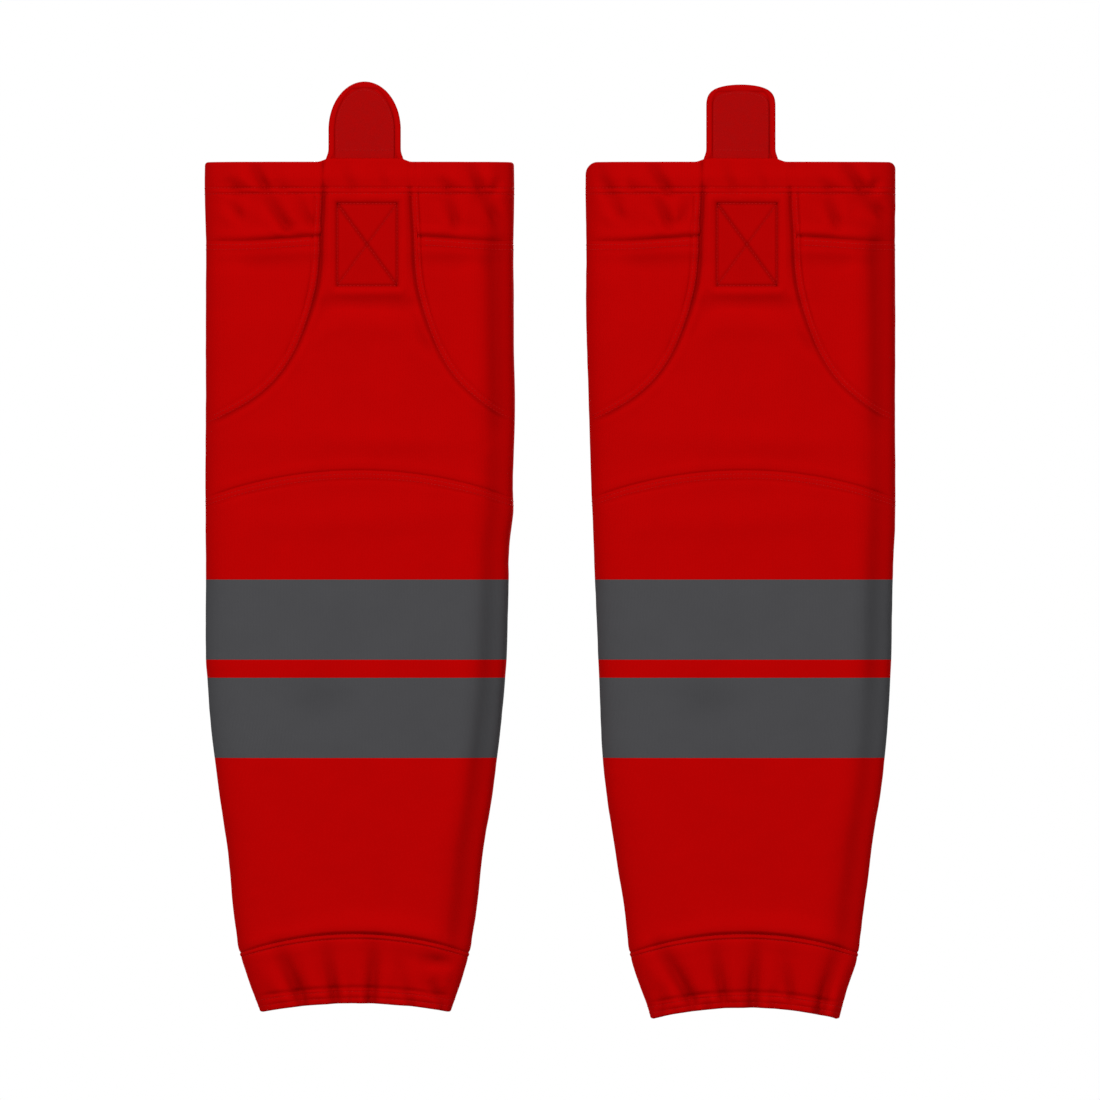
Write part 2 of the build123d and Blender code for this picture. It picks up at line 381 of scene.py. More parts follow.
@dataclass
class Leg:
    """The flattened tube that a sock's cloth follows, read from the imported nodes."""

    side: Side
    character: Character
    blunt: float = 4.0  # the section is a superellipse of this power
    proud: float = 0.8  # how far the nap stands beyond the cut's outline
    soften: float = 4.0  # the outline is averaged over this height up and down
    heights: np.ndarray = field(init=False)

    def __post_init__(self) -> None:
        """Reads the outline, and tabulates the section at many heights."""
        rows = self._stations()
        self.top = float(rows[-1, 0])
        slope = (rows[1] - rows[0]) / (rows[1, 0] - rows[0, 0])
        below = rows[0] + slope * (-30.0 - rows[0, 0])
        above = rows[-1] + np.array([30.0, 0, 0, 0])
        rows = np.vstack([below, rows, above])
        self.heights = np.linspace(-20, self.top + 20, 260)
        self.lefts, self.rights, self.depths = (
            np.mean([
                self._flowing(rows[:, 0], column, self.heights + shift)
                for shift in (-self.soften, 0.0, self.soften)
            ], axis=0)
            for column in rows.T[1:]
        )
        self.lefts -= self.proud
        self.rights += self.proud
        for bulge in self.character.left_bulges:
            self.lefts -= bulge.rise * bell(self.heights - bulge.height, bulge.reach)
        for bulge in self.character.right_bulges:
            self.rights += bulge.rise * bell(self.heights - bulge.height, bulge.reach)
        self.quarters = np.linspace(0, 1, 161)
        self._tabulate()
        self._prepare_relief()

    def node(self, name: str) -> str:
        """The full name of one of this sock's CAD nodes."""
        return f"{self.side.value}_{name}"

    def _stations(self) -> np.ndarray:
        """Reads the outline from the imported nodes.

        Returns:
            Rows of height, left, right and half the depth, from the bottom up.
        """
        hem_low, hem_high = node_box(self.node("ankle_hem"))
        self.bottom = float(hem_low[2])
        self.bottom_rise = hem_high[2] - self.bottom - CUT.ankle_hem
        known = {
            "ankle_hem": self.bottom + CUT.ankle_hem,
            "ankle_cuff": CUT.ankle_side + 1.5,
            "shin_panel": CUT.shin_side,
        }
        stations = []
        for name in ("ankle_hem", "ankle_cuff", *STRIPED[::-1], "shin_panel", "top_hem"):
            low, high = node_box(self.node(name))
            height = known.get(name, high[2])
            stations.append((height, low[0], high[0], (high[1] - low[1]) / 2))
        return np.array(stations)

    def _flowing(self, at: np.ndarray, values: np.ndarray, wanted: np.ndarray) -> np.ndarray:
        """A smooth monotone curve through stations, straight below the ankle seam.

        Args:
            at: the stations' heights, rising.
            values: their values.
            wanted: the heights asked for.

        Returns:
            The curve's values there.
        """
        steps = np.diff(values) / np.diff(at)
        slopes = np.zeros(len(at))
        same = steps[1:] * steps[:-1] > 0
        slopes[1:-1][same] = 2 * (steps[1:] * steps[:-1])[same] / (steps[1:] + steps[:-1])[same]
        slopes[0], slopes[-1] = steps[0], steps[-1]
        i = np.clip(np.searchsorted(at, wanted) - 1, 0, len(at) - 2)
        gap = at[i + 1] - at[i]
        t = np.clip((wanted - at[i]) / gap, 0, 1)
        flow = (
            values[i] * (1 + 2 * t) * (1 - t) ** 2
            + slopes[i] * gap * t * (1 - t) ** 2
            + values[i + 1] * t * t * (3 - 2 * t)
            + slopes[i + 1] * gap * t * t * (t - 1)
        )
        return np.where(wanted < CUT.ankle_side + 2, np.interp(wanted, at, values), flow)

    def _tabulate(self) -> None:
        """Fills the table of section points, evenly spaced along each quarter."""
        phi = np.linspace(0, math.pi / 2, 900)
        across, deep = np.sin(phi) ** (2 / self.blunt), np.cos(phi) ** (2 / self.blunt)
        self.table = np.zeros((len(self.heights), len(self.quarters), 2))
        self.quarter_length = np.zeros(len(self.heights))
        for i, (left, right, depth) in enumerate(zip(self.lefts, self.rights, self.depths)):
            x, y = across * (right - left) / 2, deep * depth
            length = np.concatenate([[0], np.cumsum(np.hypot(np.diff(x), np.diff(y)))])
            self.quarter_length[i] = length[-1]
            self.table[i, :, 0] = np.interp(self.quarters, length / length[-1], x)
            self.table[i, :, 1] = np.interp(self.quarters, length / length[-1], y)

    def middle(self, z: np.ndarray) -> np.ndarray:
        """Where the leg's middle is at a height."""
        return np.interp(z, self.heights, (self.lefts + self.rights) / 2)

    def half(self, z: np.ndarray) -> np.ndarray:
        """Half the leg's width at a height."""
        return np.interp(z, self.heights, (self.rights - self.lefts) / 2)

    def around(self, z: np.ndarray) -> np.ndarray:
        """A quarter of the way round the leg at a height."""
        return np.interp(z, self.heights, self.quarter_length)

    def base(self, p: np.ndarray, z: np.ndarray) -> np.ndarray:
        """A point of the smooth tube.

        Args:
            p: quarters round the leg from the middle of the shin; -1 and 1 are the left and
                right side, -2 and 2 the back seam.
            z: height.

        Returns:
            An array of x, y, z.
        """
        p, z = np.broadcast_arrays(np.asarray(p, float), np.asarray(z, float))
        q = np.where(np.abs(p) <= 1, np.abs(p), np.clip(2 - np.abs(p), 0, 1))
        last_row, last_column = len(self.heights) - 1, len(self.quarters) - 1
        between = self.heights[1] - self.heights[0]
        row = np.clip((z - self.heights[0]) / between, 0, last_row - 0.001)
        column = np.clip(q * last_column, 0, last_column - 0.001)
        i, j = row.astype(int), column.astype(int)
        a, b = (row - i)[..., None], (column - j)[..., None]
        t = self.table
        near = t[i, j] * (1 - a) + t[i + 1, j] * a
        far = t[i, j + 1] * (1 - a) + t[i + 1, j + 1] * a
        flat = near * (1 - b) + far * b
        x = self.middle(z) + np.sign(p) * flat[..., 0]
        y = np.where(np.abs(p) <= 1, -flat[..., 1], flat[..., 1])
        return np.stack([x, y, z], axis=-1)

    def quarter_at(self, x: np.ndarray, z: np.ndarray) -> np.ndarray:
        """The quarter measure p of points of the front.

        Args:
            x: where they are across.
            z: their heights.

        Returns:
            p at each point.
        """
        x, z = np.broadcast_arrays(np.asarray(x, float), np.asarray(z, float))
        out = np.empty(x.shape)
        between = self.heights[1] - self.heights[0]
        for index in np.ndindex(x.shape):
            row = int(round((z[index] - self.heights[0]) / between))
            row = min(max(row, 0), len(self.heights) - 1)
            off = x[index] - float(self.middle(z[index]))
            share = np.interp(abs(off), self.table[row, :, 0], self.quarters)
            out[index] = math.copysign(share, off)
        return out

    def arch(self, x: np.ndarray, side: float, rise: float) -> np.ndarray:
        """Height of a seam that arches over the front and the back.

        Args:
            x: where across.
            side: its height at the leg's sides.
            rise: how much higher its middle is.

        Returns:
            The heights.
        """
        half = float(self.half(side))
        radius = (half**2 + rise**2) / (2 * rise)
        off = np.clip(x - float(self.middle(side)), -half, half)
        return side + rise - radius + np.sqrt(radius**2 - off**2)

    def shin_seam(self, x: np.ndarray) -> np.ndarray:
        """Height of the seam under the knee panel."""
        return self.arch(x, CUT.shin_side, CUT.shin_rise)

    def ankle_seam(self, x: np.ndarray) -> np.ndarray:
        """Height of the seam over the cuff."""
        return self.arch(x, CUT.ankle_side, CUT.ankle_rise)

    def bottom_edge(self, x: np.ndarray) -> np.ndarray:
        """Height of the ankle hem's lower edge."""
        return self.arch(x, self.bottom, self.bottom_rise)

    def ankle_hem_seam(self, x: np.ndarray) -> np.ndarray:
        """Height of the ankle hem's upper edge."""
        return self.bottom_edge(x) + CUT.ankle_hem

    def yoke_seam(self, x: np.ndarray) -> np.ndarray:
        """Height of the seam under the yokes."""
        fall = ramp(np.abs(x - self.panel_x), 40, 110)
        return CUT.yoke_inner + (CUT.yoke_outer - CUT.yoke_inner) * fall

    def top_edge(self, p: np.ndarray) -> np.ndarray:
        """The top hem's upper edge: rounded at the corners, and raised over the tab.

        Args:
            p: quarters round the leg.

        Returns:
            Its heights.
        """
        x = self.base(p, np.full(np.shape(p), self.top))[..., 0]
        off = x - float(self.middle(self.top))
        half = float(self.half(self.top))
        height = np.full(np.shape(p), self.top)
        for direction, radius in zip(DIRECTIONS, self.character.corners):
            into = np.clip((off * direction - half + radius) / radius, 0, 1)
            height -= radius * (1 - np.sqrt(1 - 0.995 * into**2))
        from_tab = np.abs(x - self.tab_x) - self.tab_half
        return height + 3.0 * (np.abs(p) < 1) * ramp(from_tab, 7, -4)

    def _prepare_relief(self) -> None:
        """Lays out the knee seams, the noise and the tab's place."""
        character = self.character
        middle = float(self.middle(CUT.yoke_inner))
        self.panel_x, self.box_x = middle + character.panel, middle + character.box
        line = smooth_line(CUT.knee_seam, 9)
        self.knee_lines = [line * (direction, 1) + (self.panel_x, 0) for direction in DIRECTIONS]
        low, high = node_box(self.node("tab"))
        self.tab_x, self.tab_half = (low[0] + high[0]) / 2, (high[0] - low[0]) / 2
        self.knee_edges = {direction: self._knee_edge(direction) for direction in DIRECTIONS}
        self.side_seam_top = max(float(heights[0]) for heights, _ in self.knee_edges.values())
        self.broad, self.fine = Noise(character.seed, 46.0), Noise(character.seed + 1, 13.0)

    def _knee_edge(self, direction: int) -> tuple[np.ndarray, np.ndarray]:
        """A knee seam as heights and quarters, carried on round the leg's side to its middle.

        Args:
            direction: -1 for the left seam, 1 for the right.

        Returns:
            Rising heights, and p at each.
        """
        line = self.knee_lines[DIRECTIONS.index(direction)]
        x, z = line[:, 0], line[:, 1]
        keep = (x - self.middle(z)) * direction < self.half(z) - 7.0
        x, z = x[keep], z[keep]
        p = self.quarter_at(x, z)
        arc = float(abs(p[-1] - p[-4]) * self.around(z[-1]))
        fall = (z[-4] - z[-1]) / arc
        last = z[-1] - (1 - abs(p[-1])) * float(self.around(z[-1])) * fall
        return np.append(z, last)[::-1], np.append(p, float(direction))[::-1]

    def knee_quarter(self, z: np.ndarray, direction: int) -> np.ndarray:
        """Where a knee seam is at each height, as p; the leg's side once it has run out."""
        heights, quarters = self.knee_edges[direction]
        return np.interp(z, heights, quarters)

    def seams(self, x: np.ndarray, z: np.ndarray, p: np.ndarray) -> np.ndarray:
        """Relief of every seam, hem row and stitched line.

        Args:
            x: where across.
            z: height.
            p: quarters round the leg.

        Returns:
            How far they make the cloth stand out.
        """
        front = np.abs(p) <= 1
        inside = self.half(z) - np.abs(x - self.middle(z))
        flatter = 0.06 + 0.94 * ramp(inside, 1.0, 17.0)  # seams lie flat at the leg's edges
        across = SHIN_SEAM.height(self.shin_seam(x) - z)
        across += self._ankle_relief(x, z, flatter)
        knee, in_knee = self._knee_relief(x, z, front)
        yoke = (0.45 + 0.55 * ramp(inside, 10, 75)) * YOKE_SEAM.height(self.yoke_seam(x) - z)
        across += knee + ~(front & in_knee) * yoke + self._hem_relief(x, z, front)
        from_side = (np.abs(p) - 1) * self.around(z)
        side_seam = (z > CUT.shin_side - 2) * ramp(z - self.side_seam_top, 2, -14)
        from_back = (2 - np.abs(p)) * self.around(z) - CUT.back_seam_width / 2
        down = 0.3 * side_seam * bell(from_side, 1.1) + 0.8 * bell(from_back - 0.6, 1.0)
        return flatter * across - down + front * self._box(x, z)

    def _ankle_relief(self, x: np.ndarray, z: np.ndarray, flatter: np.ndarray) -> np.ndarray:
        """The ankle seam and the cloth that swells over it, and the cuff's hem.

        Args:
            x: where across.
            z: height.
            flatter: what the seams are multiplied by, which this seam resists.

        Returns:
            Their relief.
        """
        above = z - self.ankle_seam(x)
        height = (0.5 + 0.5 * flatter) / flatter * ANKLE_SEAM.height(-above)
        blouse = ramp(above, 0.0, 3.2) * ramp(above, 22.0, 3.0)
        height += 2.4 * blouse * bell(x - self.middle(z) - 12.0, 78.0)
        over = z - self.bottom_edge(x)
        height += 0.7 * ramp(over - CUT.ankle_hem, 1.2, -0.6)
        height -= 0.9 * bell(over - CUT.ankle_hem - 1.6, 1.8)
        for row in CUT.ankle_hem_rows:
            height -= 0.5 * bell(over - row, 0.9)
        return height + 0.35 * bell(over - sum(CUT.ankle_hem_rows) / 2, 2.0)

    def _knee_relief(
        self, x: np.ndarray, z: np.ndarray, front: np.ndarray
    ) -> tuple[np.ndarray, np.ndarray]:
        """Both knee seams, with the cloth sunk inside them near the top.

        Args:
            x: where across.
            z: height.
            front: True on the shin side.

        Returns:
            Their relief, and True where a point lies between them.
        """
        height, inner = np.zeros(np.shape(x)), np.zeros(np.shape(x), int)
        strength = (0.5 + 0.5 * ramp(z, 500, 640)) * (1 - 0.65 * ramp(z, 690, 697))
        hollow = (0.25 + 0.75 * ramp(z, 560, 640)) * ramp(z, 704, 690)
        sides = zip(DIRECTIONS, self.knee_lines, self.character.knee_laps, (1.5, 0.6))
        for direction, line, lap, deep in sides:
            seam_x = np.interp(z, line[::-1, 1], line[::-1, 0])
            outside = np.where((x - seam_x) * direction > 0, 1.0, -1.0)
            away = outside * distance_to_line(x, z, line)
            inner += away < 0
            height += front * strength * KNEE_SEAM.height(away - lap)
            height -= front * deep * hollow * bell(away - lap + 2.2, 3.6)
        return height, inner > 1

    def _hem_relief(self, x: np.ndarray, z: np.ndarray, front: np.ndarray) -> np.ndarray:
        """The top hem's rows and the marks of the knee panel's edges on it.

        Args:
            x: where across.
            z: height.
            front: True on the shin side.

        Returns:
            Their relief.
        """
        height = 0.55 * bell(z - sum(CUT.hem_rows) / 2, 1.7) + 0.9 * bell(z - CUT.hem_lap, 6.0)
        for row, depth in zip(CUT.hem_rows, (0.9, 0.7)):
            height -= depth * bell(z - row, 1.0)
        for direction in DIRECTIONS:
            off = x - self.panel_x - direction * CUT.knee_half
            height -= front * 0.8 * ramp(z, 692, 697) * bell(off, 1.5)
        return height

    def _box(self, x: np.ndarray, z: np.ndarray) -> np.ndarray:
        """The sewn box with its cross, sunk in the cloth that puffs up round it.

        Args:
            x: where across.
            z: height.

        Returns:
            Its relief.
        """
        half, low, high = CUT.box
        right, up = x - self.box_x, z - (low + high) / 2
        past_side, past_end = np.abs(right) - half, np.abs(up) - (high - low) / 2
        outside = np.hypot(np.maximum(past_side, 0), np.maximum(past_end, 0))
        edge = outside + np.minimum(np.maximum(past_side, past_end), 0)
        height = 1.3 * bell(edge - 5.5, 4.2) - 1.6 * bell(edge, 1.4) - 0.35 * ramp(edge, 0.5, -3)
        slope = (high - low) / (2 * half)
        for lean, depth in zip(DIRECTIONS, (1.2, 0.6)):
            line = (up - lean * slope * right) / math.hypot(1, slope)
            height -= (edge < 0) * depth * bell(line, 1.5)
        return height

    def folds(self, x: np.ndarray, z: np.ndarray, p: np.ndarray) -> np.ndarray:
        """Relief of gathers, folds and broad swells, lighter and mirrored at the back.

        Args:
            x: where across.
            z: height.
            p: quarters round the leg.

        Returns:
            How far they make the cloth stand out.
        """
        off = x - self.middle(z)
        inside = self.half(z) - np.abs(off)
        front = np.abs(p) <= 1
        height = np.zeros(np.shape(x))
        fade = 0.2 + 0.8 * ramp(inside, 0, 14)
        behind = 0.8 * (1 - ramp(z, 545, 560) * ramp(z, 650, 640))  # none behind the knee
        character = self.character
        for mark in (*character.hem_folds, *character.cuff_folds, *character.swells):
            mirrored = behind * mark.height(-off * 1.08 + 4, z)
            height += np.where(front, mark.height(off, z), mirrored) * fade
        # A long fold runs down beside the right edge, between two soft rises.
        inward = inside * np.sign(off)
        deep = np.where(front, 3.0, 2.0) * (1 + 0.25 * self.broad.height(500.0, z * 0.6))
        long = 0.8 * bell(inward - 33, 9.0) + 0.6 * bell(inward + 26, 12.0)
        long -= deep * bell(inward - 14.0, 9.5)
        return height + long * ramp(z, 40, 75) * ramp(z, 690, 640)

    def relief(self, p: np.ndarray, z: np.ndarray) -> np.ndarray:
        """How far the cloth's face stands out from the smooth tube.

        Args:
            p: quarters round the leg.
            z: height.

        Returns:
            The distance, with a slight ripple that differs at the back.
        """
        x, back = self.base(p, z)[..., 0], np.abs(p) > 1
        ripple = 0.32 * self.broad.height(x + 400 * back, z)
        ripple = ripple + 0.12 * self.fine.height(x + 90 * back, 1.4 * z)
        return self.seams(x, z, p) + self.folds(x, z, p) + ripple

    def surface(self, p: np.ndarray, z: np.ndarray, lift: float | np.ndarray = 0.0) -> np.ndarray:
        """Points of the cloth's face, or lifted off it along its normal.

        Args:
            p: quarters round the leg from the middle of the shin.
            z: height.
            lift: distance outwards from the face.

        Returns:
            An array of x, y, z.
        """
        p, z = np.broadcast_arrays(np.asarray(p, float), np.asarray(z, float))
        step, rise = 0.004, 0.6

        def wrapped(q: np.ndarray) -> np.ndarray:
            """Any number of quarters brought to -2 to 2."""
            return (q + 2) % 4 - 2

        p = wrapped(p)
        across = self.base(wrapped(p + step), z) - self.base(wrapped(p - step), z)
        normal = np.cross(across, self.base(p, z + rise) - self.base(p, z - rise))
        normal[..., 2] = 0.0  # level, so that edges keep their heights
        normal /= np.linalg.norm(normal, axis=-1, keepdims=True)
        return self.base(p, z) + normal * np.asarray(self.relief(p, z) + lift)[..., None]


# --- finishes -----------------------------------------------------------------------------


class Nodes:
    """A short way to lay out a material's nodes."""

    def __init__(self, name: str) -> None:
        """Makes the material with only its output.

        Args:
            name: the material's name.
        """
        self.material = bpy.data.materials.new(name)
        self.material.use_nodes = True
        self.tree = self.material.node_tree
        self.tree.nodes.clear()
        self.output = self.tree.nodes.new("ShaderNodeOutputMaterial")

    def add(self, kind: str, **settings: object) -> bpy.types.Node:
        """Adds a node.

        Args:
            kind: its type.
            settings: its attributes.

        Returns:
            The node.
        """
        node = self.tree.nodes.new(kind)
        for key, value in settings.items():
            setattr(node, key, value)
        return node

    def feed(self, slots: Iterable[Socket], values: Iterable[object]) -> None:
        """Gives each input its value: another node's output, or a number or colour.

        Args:
            slots: the inputs.
            values: one for each.
        """
        for slot, value in zip(slots, values):
            if isinstance(value, Socket):
                self.tree.links.new(value, slot)
            else:
                slot.default_value = value

    def set(self, node: bpy.types.Node, values: dict[str, object]) -> None:
        """Gives a node's named inputs their values."""
        self.feed((node.inputs[name] for name in values), values.values())

    def maths(self, operation: str, *values: float | Socket) -> Socket:
        """A maths node.

        Args:
            operation: what it does.
            values: numbers or sockets.

        Returns:
            Its result.
        """
        node = self.add("ShaderNodeMath", operation=operation)
        self.feed(node.inputs, values)
        return node.outputs[0]

    def mix(self, share: Socket, first: Colour | Socket, second: Colour | Socket) -> Socket:
        """A mix of two colours.

        Args:
            share: how much of the second.
            first: a colour or a socket.
            second: likewise.

        Returns:
            The mixed colour.
        """
        node = self.add("ShaderNodeMix", data_type="RGBA")
        self.feed((node.inputs["Factor"], *node.inputs[6:8]), (share, first, second))
        return node.outputs[2]

    def range(self, value: Socket, *limits: float) -> Socket:
        """A value moved from one range to another.

        Args:
            value: the value.
            limits: its lowest and highest, then what they become.

        Returns:
            The moved value.
        """
        node = self.add("ShaderNodeMapRange")
        self.feed(node.inputs, (value, *limits))
        return node.outputs[0]

    def texture(
        self, kind: str, place: Socket, values: dict[str, float], **settings: object
    ) -> bpy.types.Node:
        """A procedural texture.

        Args:
            kind: its node type, after "ShaderNodeTex".
            place: the coordinates it is laid on.
            values: numbers for its inputs.
            settings: its attributes.

        Returns:
            The texture's node.
        """
        node = self.add(f"ShaderNodeTex{kind}", **settings)
        self.set(node, {**values, "Vector": place})
        return node

    def bump(self, height: Socket, strength: float, distance: float) -> Socket:
        """A relief too fine for the mesh.

        Args:
            height: its height.
            strength: how much of it shows.
            distance: how deep it is, in millimetres.

        Returns:
            The bent normal.
        """
        node = self.add("ShaderNodeBump")
        self.set(node, {"Strength": strength, "Distance": distance * MM, "Height": height})
        return node.outputs[0]

    def finish(self, values: dict[str, object]) -> bpy.types.Material:
        """Adds the shader.

        Args:
            values: what its inputs hold.

        Returns:
            The finished material.
        """
        shader = self.add("ShaderNodeBsdfPrincipled")
        self.set(shader, values)
        self.set(self.output, {"Surface": shader.outputs[0]})
        return self.material


def shade(colour: Colour, factor: float) -> Colour:
    """A colour made lighter or darker, with its alpha."""
    return tuple(c * factor for c in colour) + (1.0,)


@dataclass(frozen=True)
class Knit:
    """Fine weft knit: wales and courses in relief, uneven dye and painted shade in hollows."""

    name: str
    colour: tuple[float, float, float]
    wale: float = 1.25
    course: float = 1.05
    relief: float = 0.35
    roughness: float = 0.82
    sheen: float = 0.4
    # strength of the painted shade in seams and folds
    painted_shade: float = 0.62

    def material(self) -> bpy.types.Material:
        """Builds the material.

        Returns:
            The material, with its knit laid on the cloth's own coordinates.
        """
        n = Nodes(self.name)
        cloth = n.add("ShaderNodeUVMap", uv_map="Cloth").outputs["UV"]
        split = n.add("ShaderNodeSeparateXYZ")
        n.feed(split.inputs, [cloth])
        wale = n.maths("DIVIDE", split.outputs[0], self.wale * MM)
        off = n.maths("ABSOLUTE", n.maths("SUBTRACT", n.maths("FRACT", wale), 0.5))
        course = n.maths("DIVIDE", split.outputs[1], self.course * MM)
        course = n.maths("ADD", course, n.maths("MULTIPLY", off, 1.3))
        loop = n.range(n.maths("SINE", n.maths("MULTIPLY", course, 2 * math.pi)), -1, 1, 0, 1)
        column = n.maths("SUBTRACT", 1.0, n.maths("POWER", n.maths("MULTIPLY", off, 2.0), 2.5))
        height = n.maths("ADD", n.maths("MULTIPLY", column, 0.6), n.maths("MULTIPLY", loop, 0.4))
        fuzz = n.texture("Noise", cloth, {"Scale": 2600.0, "Detail": 3.0})
        height = n.maths("ADD", height, n.maths("MULTIPLY", fuzz.outputs[0], 0.35))
        dye = n.texture("Noise", cloth, {"Scale": 26.0, "Detail": 4.0}).outputs[0]
        dye = n.range(dye, 0.3, 0.7, 0, 1)
        body = n.mix(dye, shade(self.colour, 0.965), shade(self.colour, 1.035))
        # Painted shade between the loops: the knit is darker where its relief is low.
        stitch = n.mix(n.range(height, 0.35, 1.15, 0, 1), shade(self.colour, 0.9), body)
        # Painted shade in seams and folds: the colour darkens by the mesh's per-point shade
        # attribute.
        sunk = n.add("ShaderNodeAttribute", attribute_name="PaintedShade").outputs["Fac"]
        sunk = n.maths("MULTIPLY", sunk, self.painted_shade)
        return n.finish({
            "Base Color": n.mix(sunk, stitch, shade(self.colour, 0.35)),
            "Roughness": n.range(height, 0.0, 1.3, self.roughness + 0.1, self.roughness - 0.05),
            "Normal": n.bump(height, self.relief, 0.25),
            "Specular IOR Level": 0.02,
            "Sheen Weight": self.sheen,
            "Sheen Roughness": 0.45,
            "Sheen Tint": shade(self.colour, 1.7),
        })


@dataclass(frozen=True)
class Pile:
    """Brushed fastening tape: short loops that stand in every direction."""

    name: str
    colour: tuple[float, float, float]
    loop: float = 0.55

    def material(self) -> bpy.types.Material:
        """Builds the material.

        Returns:
            The material, with its loops in relief.
        """
        n = Nodes(self.name)
        place = n.add("ShaderNodeTexCoord").outputs["Object"]
        loops = n.texture("Voronoi", place, {"Scale": 1 / (self.loop * MM)}).outputs[0]
        nap = n.texture("Noise", place, {"Scale": 180.0, "Detail": 5.0}).outputs[0]
        height = n.maths("ADD", n.maths("SUBTRACT", 1.0, loops), n.maths("MULTIPLY", nap, 0.8))
        # Darker where the pile's relief is low: painted shade between the loops, with some random
        # tone from the nap.
        tone = n.range(height, 0.6, 1.5, 0, 1)
        return n.finish({
            "Base Color": n.mix(tone, shade(self.colour, 0.86), shade(self.colour, 1.06)),
            "Roughness": n.range(nap, 0.3, 0.7, 0.86, 0.96),
            "Normal": n.bump(height, 0.5, 0.3),
            "Specular IOR Level": 0.08,
            "Sheen Weight": 0.25,
            "Sheen Roughness": 0.6,
            "Sheen Tint": shade(self.colour, 1.0),
        })


@dataclass(frozen=True)
class Yarn:
    """Twisted sewing thread, or braided elastic, with its strands in relief."""

    name: str
    colour: tuple[float, float, float]
    twist: float = 0.5
    roughness: float = 0.6

    def material(self) -> bpy.types.Material:
        """Builds the material.

        Returns:
            The material, with its strands in relief.
        """
        n = Nodes(self.name)
        place = n.add("ShaderNodeTexCoord").outputs["Object"]
        strands = n.texture(
            "Wave",
            place,
            {"Scale": 0.5 / (self.twist * MM), "Distortion": 1.5},
            wave_type="BANDS",
            bands_direction="DIAGONAL",
        ).outputs[1]
        # The grooves between the strands are darker: painted shade.
        return n.finish({
            "Base Color": n.mix(strands, shade(self.colour, 0.8), shade(self.colour, 1.1)),
            "Roughness": n.range(strands, 0, 1, self.roughness + 0.1, self.roughness - 0.1),
            "Normal": n.bump(strands, 0.4, 0.1),
            "Specular IOR Level": 0.15,
        })


@dataclass(frozen=True)
class Finishes:
    """Every material of the pair, made once."""

    red: bpy.types.Material
    grey: bpy.types.Material
    strap: bpy.types.Material
    tape: bpy.types.Material
    thread: bpy.types.Material
    elastic: bpy.types.Material

    @classmethod
    def make(cls) -> "Finishes":
        """Builds them all.

        Returns:
            The pair's materials.
        """
        return cls(
            red=Knit("red_knit", (0.56, 0.0004, 0.0004)).material(),
            grey=Knit("grey_knit", (0.082, 0.082, 0.087), relief=0.5, sheen=0.25).material(),
            strap=Knit("strap_knit", (0.54, 0.0006, 0.0006), wale=0.9, course=0.8).material(),
            tape=Pile("tape_pile", (0.47, 0.0008, 0.0008)).material(),
            thread=Yarn("red_thread", (0.55, 0.0006, 0.0006)).material(),
            elastic=Yarn("white_elastic", (0.72, 0.72, 0.7), twist=1.2, roughness=0.75).material(),
        )


# --- meshes -------------------------------------------------------------------------------


RIM_ANGLE = math.radians(55)


def spread(length: float, step: float, ends: float = 8.0, fine: float = 0.75) -> np.ndarray:
    """Shares from 0 to 1, closer together near both ends.

    Args:
        length: the distance they divide.
        step: the usual distance between two of them.
        ends: how far the close ones reach from each end.
        fine: the distance between close ones.

    Returns:
        The shares, in order.
    """
    at = np.linspace(0, length, 2000)
    near = np.minimum(at, length - at)
    density = 1 / (fine + (step - fine) * ramp(near, ends * 0.6, ends * 1.6))
    total = np.concatenate([[0], np.cumsum((density[1:] + density[:-1]) / 2 * np.diff(at))])
    return np.interp(np.linspace(0, total[-1], int(total[-1]) + 1), total, at) / length


def mesh_object(
    name: str,
    points: np.ndarray,
    faces: np.ndarray,
    uv: np.ndarray | None = None,
    painted_shade: np.ndarray | None = None,
) -> bpy.types.Object:
    """Makes an object from quads.

    Args:
        name: the object's name.
        points: corners, in millimetres.
        faces: four corner numbers a row.
        uv: the cloth's own coordinates at each corner, in metres, if it has them.
        painted_shade: how dark the painted shade at each corner is, from how deep it lies in a
            hollow, 0 to 1, if it has that.

    Returns:
        The new object, smooth with sharp rims.
    """
    mesh = bpy.data.meshes.new(name)
    mesh.from_pydata((points.reshape(-1, 3) * MM).tolist(), [], faces.tolist())
    mesh.polygons.foreach_set("use_smooth", np.ones(len(mesh.polygons), bool))
    if uv is not None:
        corners = np.empty(len(mesh.loops), np.int32)
        mesh.loops.foreach_get("vertex_index", corners)
        layer = mesh.uv_layers.new(name="Cloth")
        layer.data.foreach_set("uv", uv.reshape(-1, 2)[corners].astype(np.float32).ravel())
    # Painted shade of seams and folds, stored per point for the knit's colour.
    if painted_shade is not None:
        attribute = mesh.attributes.new("PaintedShade", "FLOAT", "POINT")
        attribute.data.foreach_set("value", painted_shade.astype(np.float32).ravel())
    mesh.set_sharp_from_angle(angle=RIM_ANGLE)
    mesh.update()
    thing = bpy.data.objects.new(name, mesh)
    bpy.context.scene.collection.objects.link(thing)
    return thing


def grid_faces(rows: int, columns: int, start: int, wrap: bool, flip: bool) -> np.ndarray:
    """Quads of a grid whose corners are numbered row by row.

    Args:
        rows: how many rows of corners.
        columns: how many corners in a row.
        start: the first corner's number.
        wrap: True where the last column joins the first.
        flip: True to turn the faces over.

    Returns:
        Four corner numbers a row.
    """
    r, c = np.meshgrid(np.arange(rows - 1), np.arange(columns - (not wrap)), indexing="ij")
    after = (c + 1) % columns
    low, high = r * columns, (r + 1) * columns
    quads = np.stack([low + c, low + after, high + after, high + c], axis=-1)
    quads = quads.reshape(-1, 4) + start
    return quads[:, ::-1] if flip else quads


